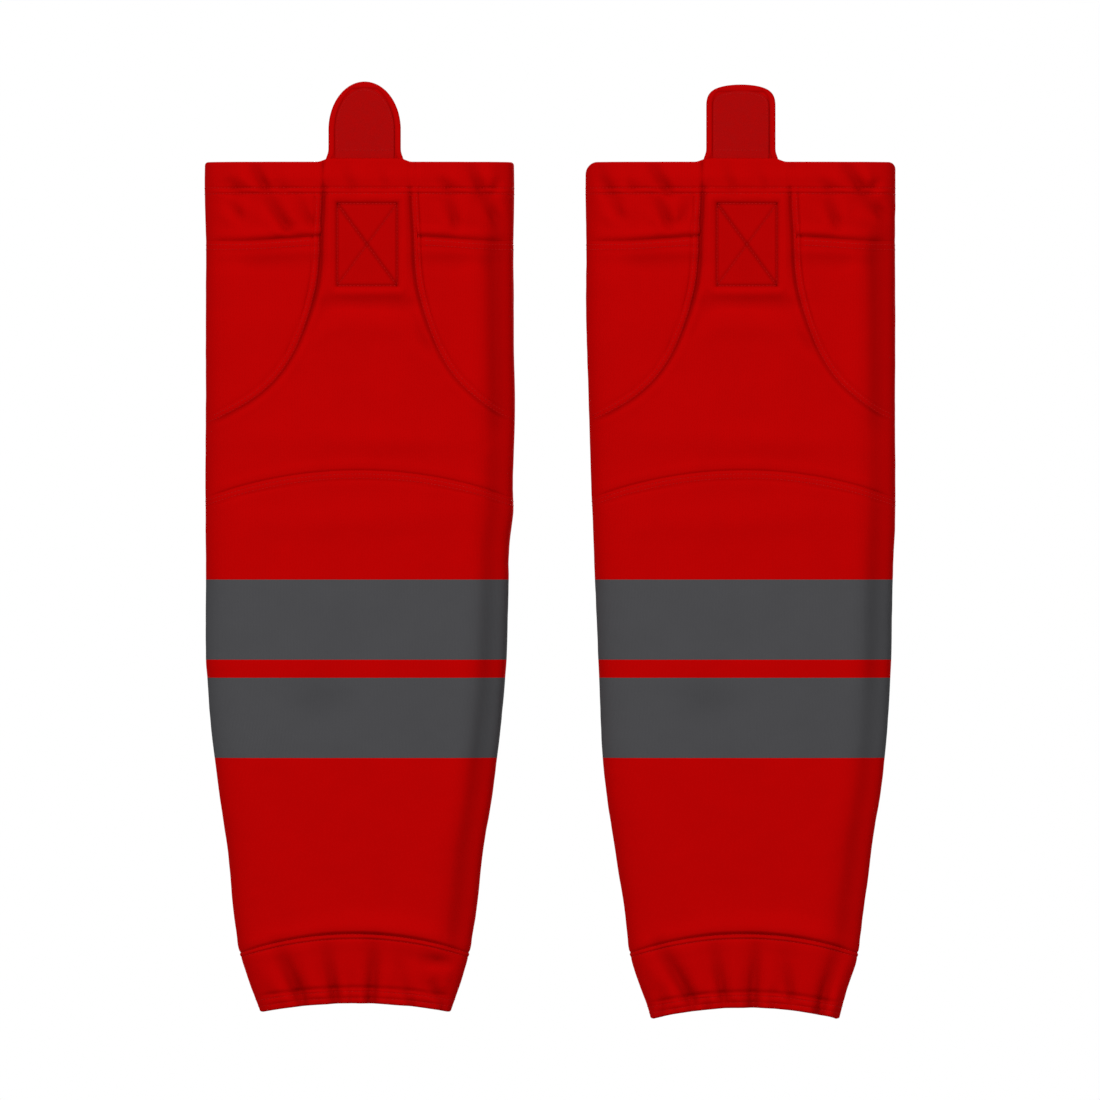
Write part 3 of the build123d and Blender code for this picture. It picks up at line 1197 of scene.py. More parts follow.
def strip_faces(first: np.ndarray, second: np.ndarray, wrap: bool) -> np.ndarray:
    """Quads between two lines of corners with as many points.

    Args:
        first: corner numbers of one line.
        second: those of the other.
        wrap: True where each line joins up with itself.

    Returns:
        Four corner numbers a row.
    """
    if wrap:
        first, second = np.append(first, first[0]), np.append(second, second[0])
    return np.stack([first[:-1], first[1:], second[1:], second[:-1]], axis=-1)


def cloth_shell(
    name: str,
    outer: np.ndarray,
    inner: np.ndarray,
    uv: np.ndarray,
    painted_shade: np.ndarray | None = None,
    wrap: bool = False,
) -> bpy.types.Object:
    """A panel of cloth: its face, its reverse and the rims between them.

    Args:
        name: the object's name.
        outer: face, rows by columns by three.
        inner: reverse, with the same rows and columns.
        uv: the face's cloth coordinates, which the reverse shares.
        painted_shade: how dark the painted shade at each point of the face is, from how deep it
            lies in a hollow, if it has any.
        wrap: True where the last column joins the first.

    Returns:
        The new object.
    """
    rows, columns = outer.shape[:2]
    count = rows * columns
    number = np.arange(count).reshape(rows, columns)
    faces = [
        grid_faces(rows, columns, 0, wrap, False),
        grid_faces(rows, columns, count, wrap, True),
        strip_faces(number[0] + count, number[0], wrap),
        strip_faces(number[-1], number[-1] + count, wrap),
    ]
    if not wrap:
        faces.append(strip_faces(number[:, 0], number[:, 0] + count, False))
        faces.append(strip_faces(number[:, -1] + count, number[:, -1], False))
    # Painted shade on the face only; the reverse gets none.
    sunk = np.zeros(2 * count)
    if painted_shade is not None:
        sunk[:count] = painted_shade.ravel()
    points = np.concatenate([outer.reshape(-1, 3), inner.reshape(-1, 3)])
    both = np.concatenate([uv.reshape(-1, 2)] * 2)
    return mesh_object(name, points, np.concatenate(faces), both, sunk)


def along_path(path: np.ndarray) -> np.ndarray:
    """Distance along a path at each of its points."""
    return np.concatenate([[0], np.cumsum(np.linalg.norm(np.diff(path, axis=0), axis=1))])


def unit(vectors: np.ndarray) -> np.ndarray:
    """Vectors brought to length 1."""
    return vectors / np.linalg.norm(vectors, axis=-1, keepdims=True)


@dataclass(frozen=True)
class StitchRow:
    """A row of lockstitches laid on a path of points with their outward directions."""

    path: np.ndarray
    normals: np.ndarray
    pitch: float = 3.0
    thread: float = 0.27  # the thread's radius
    gap: float = 0.55  # between two stitches
    rise: float = 0.12  # of a stitch's middle over the cloth
    sink: float = 0.25  # of its ends into the cloth
    ends: float = 0.45  # thickness of its ends, as a share of the middle's

    def mesh(self) -> tuple[np.ndarray, np.ndarray]:
        """Makes every stitch in the row: a six-sided thread that dips at both ends.

        Returns:
            Corners, and quads as four corner numbers a row.
        """
        length = along_path(self.path)
        count = max(1, int(length[-1] / self.pitch))
        pitch = length[-1] / count
        share = np.linspace(0, 1, 6)
        arc = np.sin(math.pi * share)
        lift = self.rise * arc**0.7 - self.sink * (1 - arc)
        full = np.sqrt(np.sin(math.pi * np.clip(share, 0.06, 0.94)))
        wide = self.thread * (self.ends + (1 - self.ends) * full)
        at = (np.arange(count)[:, None] + 0.5) * pitch + (share - 0.5)[None] * (pitch - self.gap)
        centre, up = (
            np.stack([np.interp(at, length, column) for column in values.T], axis=-1)
            for values in (self.path, self.normals)
        )
        up = unit(up)
        across = unit(np.cross(unit(centre[:, -1:] - centre[:, :1]), up))
        angles = np.arange(6)[:, None] * math.pi / 3
        ring = np.cos(angles) * across[:, :, None] + np.sin(angles) * up[:, :, None]
        points = (centre + up * lift[:, None])[:, :, None] + ring * wide[:, None, None]
        number = np.arange(points[..., 0].size).reshape(points.shape[:3])
        after = np.roll(number, -1, axis=2)
        sides = [number[:, :-1], after[:, :-1], after[:, 1:], number[:, 1:]]
        faces = [np.stack(sides, axis=-1).reshape(-1, 4)]
        for half in ([3, 2, 1, 0], [0, 5, 4, 3]):
            faces += [number[:, 0][:, half], number[:, -1][:, half[::-1]]]
        return points.reshape(-1, 3), np.concatenate(faces)


def stitches_object(name: str, rows: list[StitchRow]) -> bpy.types.Object:
    """All the stitches of one seam as one object.

    Args:
        name: the object's name.
        rows: its rows of stitches.

    Returns:
        The new object.
    """
    points, faces, start = [], [], 0
    for row in rows:
        p, f = row.mesh()
        points.append(p)
        faces.append(f + start)
        start += len(p)
    return mesh_object(name, np.concatenate(points), np.concatenate(faces))


def dress(thing: bpy.types.Object, material: bpy.types.Material, slot: str, node: str = "") -> None:
    """Gives a piece its material, hides the CAD node it stands for, and reports it.

    Args:
        thing: the piece.
        material: its finish.
        slot: not used.
        node: the CAD node it stands for, if it stands for one.
    """
    thing.data.materials.append(material)
    if node:
        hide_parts(node)
    LOG.info("%s: %d faces", thing.name, len(thing.data.polygons))


# --- the sock -----------------------------------------------------------------------------


@dataclass
class LegCloth:
    """A sock's leg: hems, panels, stripes, cuff, elastics and stitches."""

    side: Side
    character: Character
    finishes: Finishes
    thickness: float = 1.2
    hem_thickness: float = 3.8
    allowance: float = 0.9  # how far a panel's reverse reaches under its neighbour
    step: float = 1.9  # between two points of a panel
    hem_step: float = 1.5
    quarter: float = 148.0  # a quarter round the leg, on the cloth's own coordinates
    stop: float = 0.02  # quarters that a row of stitches leaves free at the back seam
    clear: float = 2.0  # how far a row stops short of the hem's
    leg: Leg = field(init=False)

    def __post_init__(self) -> None:
        """Prepares the leg's shape."""
        self.leg = Leg(self.side, self.character)

    # Grids of p and z that the pieces are laid on.

    def _round(self, step: float) -> np.ndarray:
        """Quarters all round the leg, about a step apart."""
        columns = int(4 * float(self.leg.around(300)) / step)
        return -2 + 4 * np.arange(columns) / columns

    def _edge(self, edge: Edge, p: np.ndarray) -> np.ndarray:
        """Heights along an edge that runs round the leg.

        Args:
            edge: its height, or its height as a function of x.
            p: quarters round the leg.

        Returns:
            A height for each p.
        """
        z = np.full(p.shape, 400.0)
        if not callable(edge):
            return np.full(p.shape, float(edge))
        for _ in range(3):  # x itself depends a little on the height
            z = edge(self.leg.base(p, z)[..., 0])
        return z

    def _ring(self, low: Edge, high: Edge, step: float) -> Grid:
        """Grid of a panel all round the leg.

        Args:
            low: its lower edge.
            high: its upper edge.
            step: the distance between two rows.

        Returns:
            p and z of its points.
        """
        p = self._round(self.step)
        bottom, top = self._edge(low, p), self._edge(high, p)
        z = bottom + (top - bottom) * spread(float(np.mean(top - bottom)), step)[:, None]
        return np.broadcast_to(p, z.shape), z

    def _side_panel(self, low: float, high: float, direction: int) -> Grid:
        """Grid of a yoke or thigh panel, from the back seam round to the knee seam.

        Args:
            low: height of its lower edge.
            high: height of its upper edge.
            direction: -1 for the left one, 1 for the right.

        Returns:
            p and z of its points.
        """
        heights = low + (high - low) * spread(high - low, self.step)
        edge = self.leg.knee_quarter(heights, direction)
        columns = spread(float(self.leg.around(600)) * 1.7, self.step)
        p = direction * 2 + (edge[:, None] - direction * 2) * columns
        z = np.broadcast_to(heights[:, None], p.shape)
        x = self.leg.base(p, z)[..., 0]
        if high == CUT.hem_bottom:
            z = z + (self.leg.yoke_seam(x) - low) * ramp(z, high, low)
        else:
            z = z + (self.leg.shin_seam(x) - low) * ramp(z, ARCH_TOP, low)
            z = z + (self.leg.yoke_seam(x) - high) * ramp(z, high - 30, high)
        return (p, z) if direction < 0 else (p[:, ::-1], z[:, ::-1])

    def _knee(self) -> Grid:
        """Grid of the knee panel, from the shin seam up to the hem.

        Returns:
            p and z of its points.
        """
        low, high = CUT.shin_side, CUT.hem_bottom
        heights = low + (high - low) * spread(high - low, 1.35)
        left, right = (self.leg.knee_quarter(heights, direction) for direction in DIRECTIONS)
        columns = spread(2 * float(self.leg.around(450)), 1.7, ends=9.0, fine=1.0)
        p = left[:, None] + (right - left)[:, None] * columns
        z = np.broadcast_to(heights[:, None], p.shape)
        x = self.leg.base(p, z)[..., 0]
        return p, z + (self.leg.shin_seam(x) - low) * ramp(z, ARCH_TOP, low)

    # Pieces.

    def _finish(self, grey: bool) -> tuple[bpy.types.Material, str]:
        """A panel's material and slot."""
        return (self.finishes.grey, "grey_knit") if grey else (self.finishes.red, "red_knit")

    def _uv(self, p: np.ndarray, z: np.ndarray) -> np.ndarray:
        """The cloth's own coordinates, in metres."""
        return np.stack([p * self.quarter * MM, z * MM], axis=-1)

    def _painted_shade(self, p: np.ndarray, z: np.ndarray) -> np.ndarray:
        """Painted shade for the face, from how deep it lies below the cloth round it.

        Args:
            p: quarters round the leg.
            z: height.

        Returns:
            0 to 1, where folds count for less than seams.
        """
        x = self.leg.base(p, z)[..., 0]
        seam = np.clip(-self.leg.seams(x, z, p) / 1.8, 0, 1)
        fold = np.clip((-self.leg.folds(x, z, p) - 0.2) / 3.0, 0, 1)
        return np.clip(seam + 0.55 * fold, 0, 1)

    def _panel(
        self, node: str, grid: Grid, grey: bool = False, wrap: bool = False
    ) -> None:
        """Makes one panel on its grid.

        Args:
            node: the CAD node it stands for.
            grid: p and z of its points.
            grey: True for a grey stripe.
            wrap: True for a panel all round the leg.
        """
        p, z = grid
        outer = self.leg.surface(p, z)
        under_p, under_z = np.array(p, float), np.array(z, float)
        under_z[0] -= self.allowance
        under_z[-1] += self.allowance
        if not wrap:
            under_p[:, 0] -= self.allowance / self.leg.around(z[:, 0])
            under_p[:, -1] += self.allowance / self.leg.around(z[:, -1])
        inner = self.leg.surface(under_p, under_z, -self.thickness)
        name = self.leg.node(node)
        thing = cloth_shell(
            f"{name}_cloth", outer, inner, self._uv(p, z), self._painted_shade(p, z), wrap
        )
        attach(thing, self.side.body)
        dress(thing, *self._finish(grey), name)
        self._declare(grid, wrap)

    def _declare(self, grid: Grid, wrap: bool) -> None:
        """Lays a panel's grid on the smooth tube, closing the ring for a panel all round the leg;
        the result is not used.

        Args:
            grid: p and z of its points.
            wrap: True for a panel all round the leg.
        """
        flat = self.leg.base(*grid)
        if wrap:
            flat = np.concatenate([flat, flat[:, :1]], axis=1)

    def _folded_hem(
        self, node: str, rise: np.ndarray, p: np.ndarray, sewn: np.ndarray, free: np.ndarray
    ) -> None:
        """A hem folded over its free edge, as a closed tube with a slot for the elastic.

        Args:
            node: the CAD node it stands for.
            rise: shares of the way from the sewn edge to the free one, for the face.
            p: quarters all round the leg.
            sewn: height of the sewn edge at each.
            free: height of the free edge, above the sewn one or below it.
        """
        sign = 1 if free[0] > sewn[0] else -1
        radius, slot = self.hem_thickness / 2, self.hem_thickness / 2 - self.thickness
        straight = free - sign * radius
        coarse = rise[::3] if rise[-1] in rise[::3] else np.append(rise[::3], rise[-1])
        turn, small_turn = np.linspace(0, math.pi, 9)[1:-1], np.linspace(math.pi, 0, 5)[1:-1]
        heights, beyond, depth = [], [], []

        def wall(shares: np.ndarray, level: float) -> None:
            """Adds rows between the sewn edge and the fold.

            Args:
                shares: where they are on the way to the fold.
                level: how far off the face they lie.
            """
            heights.append(sewn + (straight - sewn) * shares[:, None])
            beyond.append(np.zeros(len(shares)))
            depth.append(np.full(len(shares), level))

        def fold(angles: np.ndarray, size: float) -> None:
            """Adds rows round the fold.

            Args:
                angles: where they are round it.
                size: the fold's radius.
            """
            heights.append(np.tile(straight, (len(angles), 1)))
            beyond.append(sign * size * np.sin(angles))
            depth.append(-radius + size * np.cos(angles))

        wall(rise, 0.0)
        fold(turn, radius)
        wall(coarse[::-1], -2 * radius)
        wall(coarse, -radius - slot)
        fold(small_turn, slot)
        wall(coarse[::-1], -radius + slot)
        z, past, deep = (np.concatenate(rows)[::sign] for rows in (heights, beyond, depth))
        around = np.broadcast_to(p, z.shape)
        face = self.leg.surface(around, z, deep[:, None])
        face[..., 2] += past[:, None]
        number = np.arange(z.size).reshape(z.shape)
        faces = np.concatenate([
            grid_faces(*z.shape, 0, True, False),
            strip_faces(number[-1], number[0], True),
        ])
        # Painted shade of seams and folds, on the hem's outer face only.
        painted_shade = self._painted_shade(around, z) * (deep > -0.5)[:, None]
        name = self.leg.node(node)
        thing = mesh_object(
            f"{name}_cloth", face, faces, self._uv(around, z + past[:, None]), painted_shade
        )
        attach(thing, self.side.body)
        dress(thing, *self._finish(False), name)
        width = 4 * float(self.leg.around(np.mean(sewn))) * MM

    def hems(self) -> None:
        """The folded hems at both ends of the leg; the lower one is drawn up between gathers."""
        leg, p = self.leg, self._round(self.hem_step)
        sewn = np.full(p.shape, CUT.hem_bottom)
        self._folded_hem("top_hem", spread(27.0, 0.9, 4.0, 0.6), p, sewn, leg.top_edge(p))
        x = leg.base(p, np.full(p.shape, leg.bottom + 15))[..., 0]
        sewn = leg.ankle_hem_seam(x)
        x = leg.base(p, np.full(p.shape, leg.bottom + 5))[..., 0]
        free = leg.bottom_edge(x) + 0.2 * leg.fine.height(x * 0.9, 40.0 * (np.abs(p) > 1))
        self._folded_hem("ankle_hem", spread(12.0, 0.8, 3.0, 0.6), p, sewn, free)

    def elastics(self) -> None:
        """The braided elastics inside both hems."""
        leg, p = self.leg, self._round(self.step)
        ankle = leg.bottom_edge(leg.base(p, np.full(p.shape, leg.bottom + 5))[..., 0])
        spans = {
            "top_elastic": (np.full(p.shape, 690.0), np.minimum(leg.top_edge(p) - 5.5, 711.0)),
            "ankle_elastic": (ankle + 3.2, ankle + 10.4),
        }
        for node, (low, high) in spans.items():
            z = low + (high - low) * spread(float(np.mean(high - low)), 1.6)[:, None]
            around = np.broadcast_to(p, z.shape)
            outer, inner = (leg.surface(around, z, depth) for depth in (-1.5, -2.4))
            name = leg.node(node)
            thing = cloth_shell(f"{name}_braid", outer, inner, self._uv(around, z), wrap=True)
            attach(thing, self.side.body)
            dress(thing, self.finishes.elastic, "elastic", name)

    def _tops(self) -> list[float]:
        """Heights of the stripes' and the lower leg's upper edges, downwards."""
        return [float(node_box(self.leg.node(name))[1][2]) for name in STRIPED]

    def panels(self) -> None:
        """Every panel of the leg."""
        leg = self.leg
        self._panel("knee_panel", self._knee())
        for direction, word in zip(DIRECTIONS, ("left", "right")):
            yoke = self._side_panel(YOKE_MEAN, CUT.hem_bottom, direction)
            self._panel(f"yoke_{word}", yoke)
            thigh = self._side_panel(CUT.shin_side, YOKE_MEAN, direction)
            self._panel(f"thigh_panel_{word}", thigh)
        edges = [leg.shin_seam, *self._tops(), leg.ankle_seam]
        for node, high, low in zip(("shin_panel", *STRIPED), edges[:-1], edges[1:]):
            grid = self._ring(low, high, self.step)
            self._panel(node, grid, grey=node in GREY, wrap=True)
        cuff = self._ring(leg.ankle_hem_seam, leg.ankle_seam, 1.2)
        self._panel("ankle_cuff", cuff, wrap=True)

    def _row(self, p: np.ndarray, z: np.ndarray, lift: float = 0.0) -> StitchRow:
        """A row of stitches on the cloth's face, or lifted off it."""
        here = self.leg.surface(p, z, lift)
        return StitchRow(here, self.leg.surface(p, z, lift + 1.0) - here)

    def _round_rows(self, edge: Edge, drops: tuple[float, ...]) -> list[StitchRow]:
        """Rows all round the leg, each a drop below a seam.

        Args:
            edge: the seam.
            drops: how far below it each row is.

        Returns:
            The rows.
        """
        p, made = np.linspace(-2 + self.stop, 2 - self.stop, 700), []
        for drop in drops:
            below = edge - drop if not callable(edge) else lambda x: edge(x) - drop
            made.append(self._row(p, self._edge(below, p)))
        return made

    def stitches(self) -> None:
        """The rows of thread along every seam."""
        leg = self.leg
        under = tuple(-row for row in CUT.ankle_hem_rows)
        rows = {
            "top_hem_stitching": [
                row for height in CUT.hem_rows for row in self._round_rows(height, (0.0,))
            ],
            "yoke_stitching": self._yoke_rows(),
            "knee_stitching": self._knee_rows(),
            "shin_stitching": self._round_rows(leg.shin_seam, CUT.shin_rows),
            "ankle_seam_stitching": self._round_rows(leg.ankle_seam, CUT.ankle_rows),
            "ankle_hem_stitching": self._round_rows(leg.bottom_edge, under),
            "box_stitching": self._box_rows(),
        }
        for node, made in rows.items():
            self._thread(node, made)

    def _thread(self, node: str, rows: list[StitchRow]) -> None:
        """Makes and dresses the thread of one seam.

        Args:
            node: the CAD node it stands for.
            rows: its rows of stitches.
        """
        name = self.leg.node(node)
        thing = stitches_object(f"{name}_thread", rows)
        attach(thing, self.side.body)
        dress(thing, self.finishes.thread, "thread", name)

    def _yoke_rows(self) -> list[StitchRow]:
        """Makes the rows under each yoke, from one knee seam round the back to the other.

        Returns:
            The rows.
        """
        made = []
        for drop in CUT.yoke_rows:
            z = np.full(2, CUT.yoke_inner - drop)
            ends = [float(self.leg.knee_quarter(z, direction)[0]) for direction in DIRECTIONS]
            spans = ((-2 + self.stop, ends[0] - 0.06), (ends[1] + 0.04, 2 - self.stop))
            for start, end in spans:
                p = np.linspace(start, end, 300)
                x = self.leg.base(p, np.full(p.shape, CUT.yoke_inner))[..., 0]
                made.append(self._row(p, self.leg.yoke_seam(x) - drop))
        return made

    def _knee_rows(self) -> list[StitchRow]:
        """Makes the rows on the ridge of each knee seam.

        Returns:
            The rows.
        """
        made, leg = [], self.leg
        for direction, line, lap in zip(DIRECTIONS, leg.knee_lines, self.character.knee_laps):
            tangent = unit(np.gradient(line, axis=0))
            outwards = np.stack([-tangent[:, 1], tangent[:, 0]], axis=1)
            outwards *= np.sign(outwards[:1, 0]) * direction
            for row in CUT.knee_rows:
                x, z = (line + outwards * (row + lap)).T
                keep = np.abs(x - leg.middle(z)) < leg.half(z) - 0.6
                keep &= z < CUT.hem_rows[1] - self.clear
                keep[: int(np.argmax(np.gradient(z) < 0))] = False  # it starts where it falls
                p = leg.quarter_at(x[keep], z[keep])
                index, fine = np.arange(len(p)), np.linspace(0, len(p) - 1, 160)
                made.append(self._row(np.interp(fine, index, p), np.interp(fine, index, z[keep])))
        return made

    def _box_rows(self) -> list[StitchRow]:
        """Makes the sewn box and its cross.

        Returns:
            A row for each side and each arm of the cross.
        """
        half, low, high = CUT.box
        left, right = self.leg.box_x - half, self.leg.box_x + half
        one, two, three, four = (left, low), (right, low), (right, high), (left, high)
        path = (one, two, three, four, one, three)
        made, t = [], np.linspace(0.01, 0.99, 40)
        for (ax, az), (bx, bz) in (*zip(path[:-1], path[1:]), (four, two)):
            x, z = ax + (bx - ax) * t, az + (bz - az) * t
            made.append(self._row(self.leg.quarter_at(x, z), z))
        return made

    def back_seam(self) -> None:
        """The lapped seam down the calf, in the panels' own colours, with its stitches."""
        low, high = self.leg.bottom + 26.0, CUT.hem_rows[1] - self.clear
        edges = [high, *self._tops(), low]
        beside = ("shin_panel", *STRIPED)
        for number, (top, bottom) in enumerate(zip(edges[:-1], edges[1:])):
            thing = self._seam_strip(number + 1, bottom, top)
            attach(thing, self.side.body)
            dress(thing, *self._finish(beside[number] in GREY))
        z = np.linspace(low + 1, high - 1, 400)
        rows = [self._row(2 - off / self.leg.around(z), z, 0.95) for off in (-1.4, 1.4)]
        self._thread("back_seam", rows)

    def _seam_strip(self, number: int, low: float, high: float) -> bpy.types.Object:
        """One panel's length of the back seam.

        Args:
            number: its place from the top.
            low: height of its lower end.
            high: height of its upper end.

        Returns:
            The strip.
        """
        half = CUT.back_seam_width / 2
        z = np.linspace(low, high, max(6, int((high - low) / 2.0)))[:, None]
        across = np.linspace(-half, half, 9)
        lift = 0.15 + 0.85 * np.sqrt(np.clip(1 - (across / (half * 1.02)) ** 4, 0, 1))
        p = 2 - across[None] / self.leg.around(z)
        outer = self.leg.surface(p, z, lift[None])
        inner = self.leg.surface(p, z, -0.6)
        uv = self._uv(p, np.broadcast_to(z, p.shape))
        name = self.leg.node(f"back_seam_{number}_cloth")
        return cloth_shell(name, outer[:, ::-1], inner[:, ::-1], uv[:, ::-1])

    def build(self) -> None:
        """Builds the whole leg."""
        self.hems()
        self.elastics()
        self.panels()
        self.stitches()
        self.back_seam()


@dataclass
class Tab:
    """A fastening tab: its strap, the tape sewn on it and the strap's sewn-down end."""

    side: Side
    finishes: Finishes
    top: TabTop
    dome: float = 40.2  # height of the round top's curve
    corner: float = 16.0  # radius of the square top's corners
    crown: float = 2.2  # how much that top rises between them
    inset: float = 5.5  # from the strap's edge to the tape's
    strap: float = 2.2  # thickness
    tape_height: float = 1.3
    bend: tuple[float, float] = (717.0, 724.0)  # heights between which it folds
    foot: float = 712.0  # where the strap starts
    thin_edge: float = 0.12  # thickness at the edges, as a share of the middle's
    rows: int = 70
    columns: int = 48

    def __post_init__(self) -> None:
        """Reads the tab's place from its nodes."""
        self.name = f"{self.side.value}_tab"
        self.low, self.high = node_box(self.name)
        self.tape_low, self.tape_high = node_box(f"{self.name}_tape")
        self.middle = (self.low[0] + self.high[0]) / 2
        self.half = (self.tape_high[0] - self.tape_low[0]) / 2 + self.inset

    def half_at(self, z: np.ndarray, inset: float) -> np.ndarray:
        """Half the tab's width.

        Args:
            z: the heights it is wanted at.
            inset: how far inside the tab's edge to measure.

        Returns:
            Half the width at each height.
        """
        top, half = self.high[2] - inset, self.half - inset
        if self.top is TabTop.ROUND:
            dome = self.dome - inset
            up = np.clip((z - (top - dome)) / dome, 0, 1)
            return half * np.sqrt(1 - up**2)
        radius = self.corner - inset * 0.8
        up = np.clip((z - (top - self.crown - radius)) / (radius + self.crown), 0, 1)
        flat = half - radius
        return flat * np.sqrt(np.clip(1 - up**6, 0, 1)) + radius * np.sqrt(1 - up**2.4)

    def outline(self, inset: float, base: float, flare: float) -> tuple[np.ndarray, np.ndarray]:
        """A grid that fills the tab's outline.

        Args:
            inset: how far inside the tab's edge it lies.
            base: its lowest height.
            flare: how far it spreads at the fold line.

        Returns:
            x and z of each grid point.
        """
        top = self.high[2] - inset
        share = np.sin(np.linspace(0, math.pi / 2, self.rows))
        z = base + (top - base) * share
        half = self.half_at(z, inset) + flare * ramp(z, 728, 716) ** 1.5
        t = np.sin(np.linspace(-math.pi / 2, math.pi / 2, self.columns))
        x = self.middle + half[:, None] * t
        return x, np.broadcast_to(z[:, None], x.shape)

    def _pad(
        self, name: str, grid: Grid, inset: float, depths: tuple[float, float], roll: float
    ) -> bpy.types.Object:
        """A flat piece with rolled edges.

        Args:
            name: the object's name.
            grid: x and z of its points.
            inset: how far inside the tab's edge it lies.
            depths: where its front and its back are.
            roll: radius of its rolled edges.

        Returns:
            The piece.
        """
        x, z = grid
        half = (x[:, -1:] - x[:, :1]) / 2
        side = np.minimum(half - np.abs(x - self.middle), (self.high[2] - inset - z) * 0.9)
        edge = np.clip(side / roll, 0, 1)
        thick = np.sqrt(np.clip(1 - (1 - edge) ** 2, 0, 1))
        middle = sum(depths) / 2
        full = self.thin_edge + (1 - self.thin_edge) * thick
        faces = [np.stack([x, middle + (y - middle) * full, z], axis=-1) for y in depths]
        # Painted shade where the rolled edges thin out and turn away.
        sunk = 0.5 * (1 - thick)
        if not inset:  # painted shade on the strap along the tape's edge
            sunk = sunk + 0.75 * bell(side - self.inset + 0.4, 0.9)
        return cloth_shell(name, *faces, np.stack([x * MM, z * MM], axis=-1), sunk)

    def _bend(self, thing: bpy.types.Object) -> None:
        """Bakes a piece's placement into its mesh."""
        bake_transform(thing)

    def build_strap(self) -> None:
        """The strap above the fold."""
        depths = self.low[1], self.low[1] + self.strap
        grid = self.outline(0.0, self.foot, 2.6)
        thing = self._pad(f"{self.name}_strap", grid, 0.0, depths, 1.6)
        self._bend(thing)
        dress(thing, self.finishes.strap, "strap", self.name)

    def build_tape(self) -> None:
        """The fastening tape and the stitches round it."""
        back = self.tape_high[1]
        depths = back - self.tape_height, back + 0.4
        grid = self.outline(self.inset, self.foot + 4.5, 0.0)
        thing = self._pad(f"{self.name}_tape_pile", grid, self.inset, depths, 1.1)
        self._bend(thing)
        dress(thing, self.finishes.tape, "tape", f"{self.name}_tape")
        self._build_border(depths[0])

    def _build_border(self, front: float, margin: float = 1.7) -> None:
        """The row of stitches just inside the tape's edge.

        Args:
            front: where the tape's front is.
            margin: the row's distance from the tape's edge.
        """
        inset = self.inset + margin
        top, base = self.high[2] - inset, self.tape_low[2] + margin
        z = base + (top - base) * np.sin(np.linspace(0, math.pi / 2, 120))
        half = self.half_at(z, inset)
        x = np.concatenate([self.middle - half, (self.middle + half)[::-1][1:]])
        z = np.concatenate([z, z[::-1][1:]])
        x, z = np.append(x, x[0]), np.append(z, z[0])
        path = np.stack([x, np.full(x.shape, front), z], axis=-1)
        normals = np.tile([0.0, -1.0, 0.0], (len(path), 1))
        row = StitchRow(path, normals, rise=0.15)
        thing = stitches_object(f"{self.name}_tape_thread", [row])
        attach(thing, self.side.tab_body)
        dress(thing, self.finishes.thread, "thread")

    def build_anchor(self) -> None:
        """The strap's end behind the knee panel, stepping forward under the hem."""
        low, high = node_box(f"{self.name}_anchor")
        panel_face, step, press = low[1] + 0.9, self.low[1] + 0.05, 1.4
        z = np.linspace(low[2], self.foot + 1.5, 60)[:, None]
        front = panel_face + (step - press - panel_face) * ramp(z, 678, 688)
        front = front + press * ramp(z, 694, 713)
        turned = np.sin(np.linspace(-math.pi / 2, math.pi / 2, 40))[None]
        narrow, wide = (high[0] - low[0]) / 2 - 0.6, self.half + 2.6
        half = narrow + (wide - narrow) * ramp(z, 690, 713)
        face = np.stack(np.broadcast_arrays(self.middle + half * turned, front, z), axis=-1)
        edge = np.clip(half * (1 - np.abs(turned)) / 2.2, 0, 1)
        back = face.copy()
        back[..., 1] += (self.strap - 0.1) * (0.1 + 0.9 * np.sqrt(1 - (1 - edge) ** 2))
        thing = cloth_shell(f"{self.name}_anchor_strap", face, back, face[..., [0, 2]] * MM)
        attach(thing, self.side.body)
        dress(thing, self.finishes.strap, "strap", f"{self.name}_anchor")

    def build(self) -> None:
        """Builds the tab."""
        self.build_strap()
        self.build_tape()
        self.build_anchor()


# --- studio -------------------------------------------------------------------------------


@dataclass(frozen=True)
class Lamp:
    """A soft rectangular lamp that faces the middle of the pair."""

    name: str
    place: tuple[float, float, float]
    size: float
    power: float

    def build(self, target: tuple[float, float, float]) -> None:
        """Adds the lamp.

        Args:
            target: what it faces.
        """
        data = bpy.data.lights.new(self.name, "AREA")
        data.energy, data.size, data.shape = self.power, self.size, "DISK"
        thing = bpy.data.objects.new(self.name, data)
        bpy.context.scene.collection.objects.link(thing)
        thing.location = self.place
        ahead = np.array(target) - np.array(self.place)
        turn = math.atan2(ahead[1], ahead[0]) - math.pi / 2
        tip = math.atan2(ahead[2], math.hypot(ahead[0], ahead[1])) + math.pi / 2
        thing.rotation_euler = (tip, 0, turn)


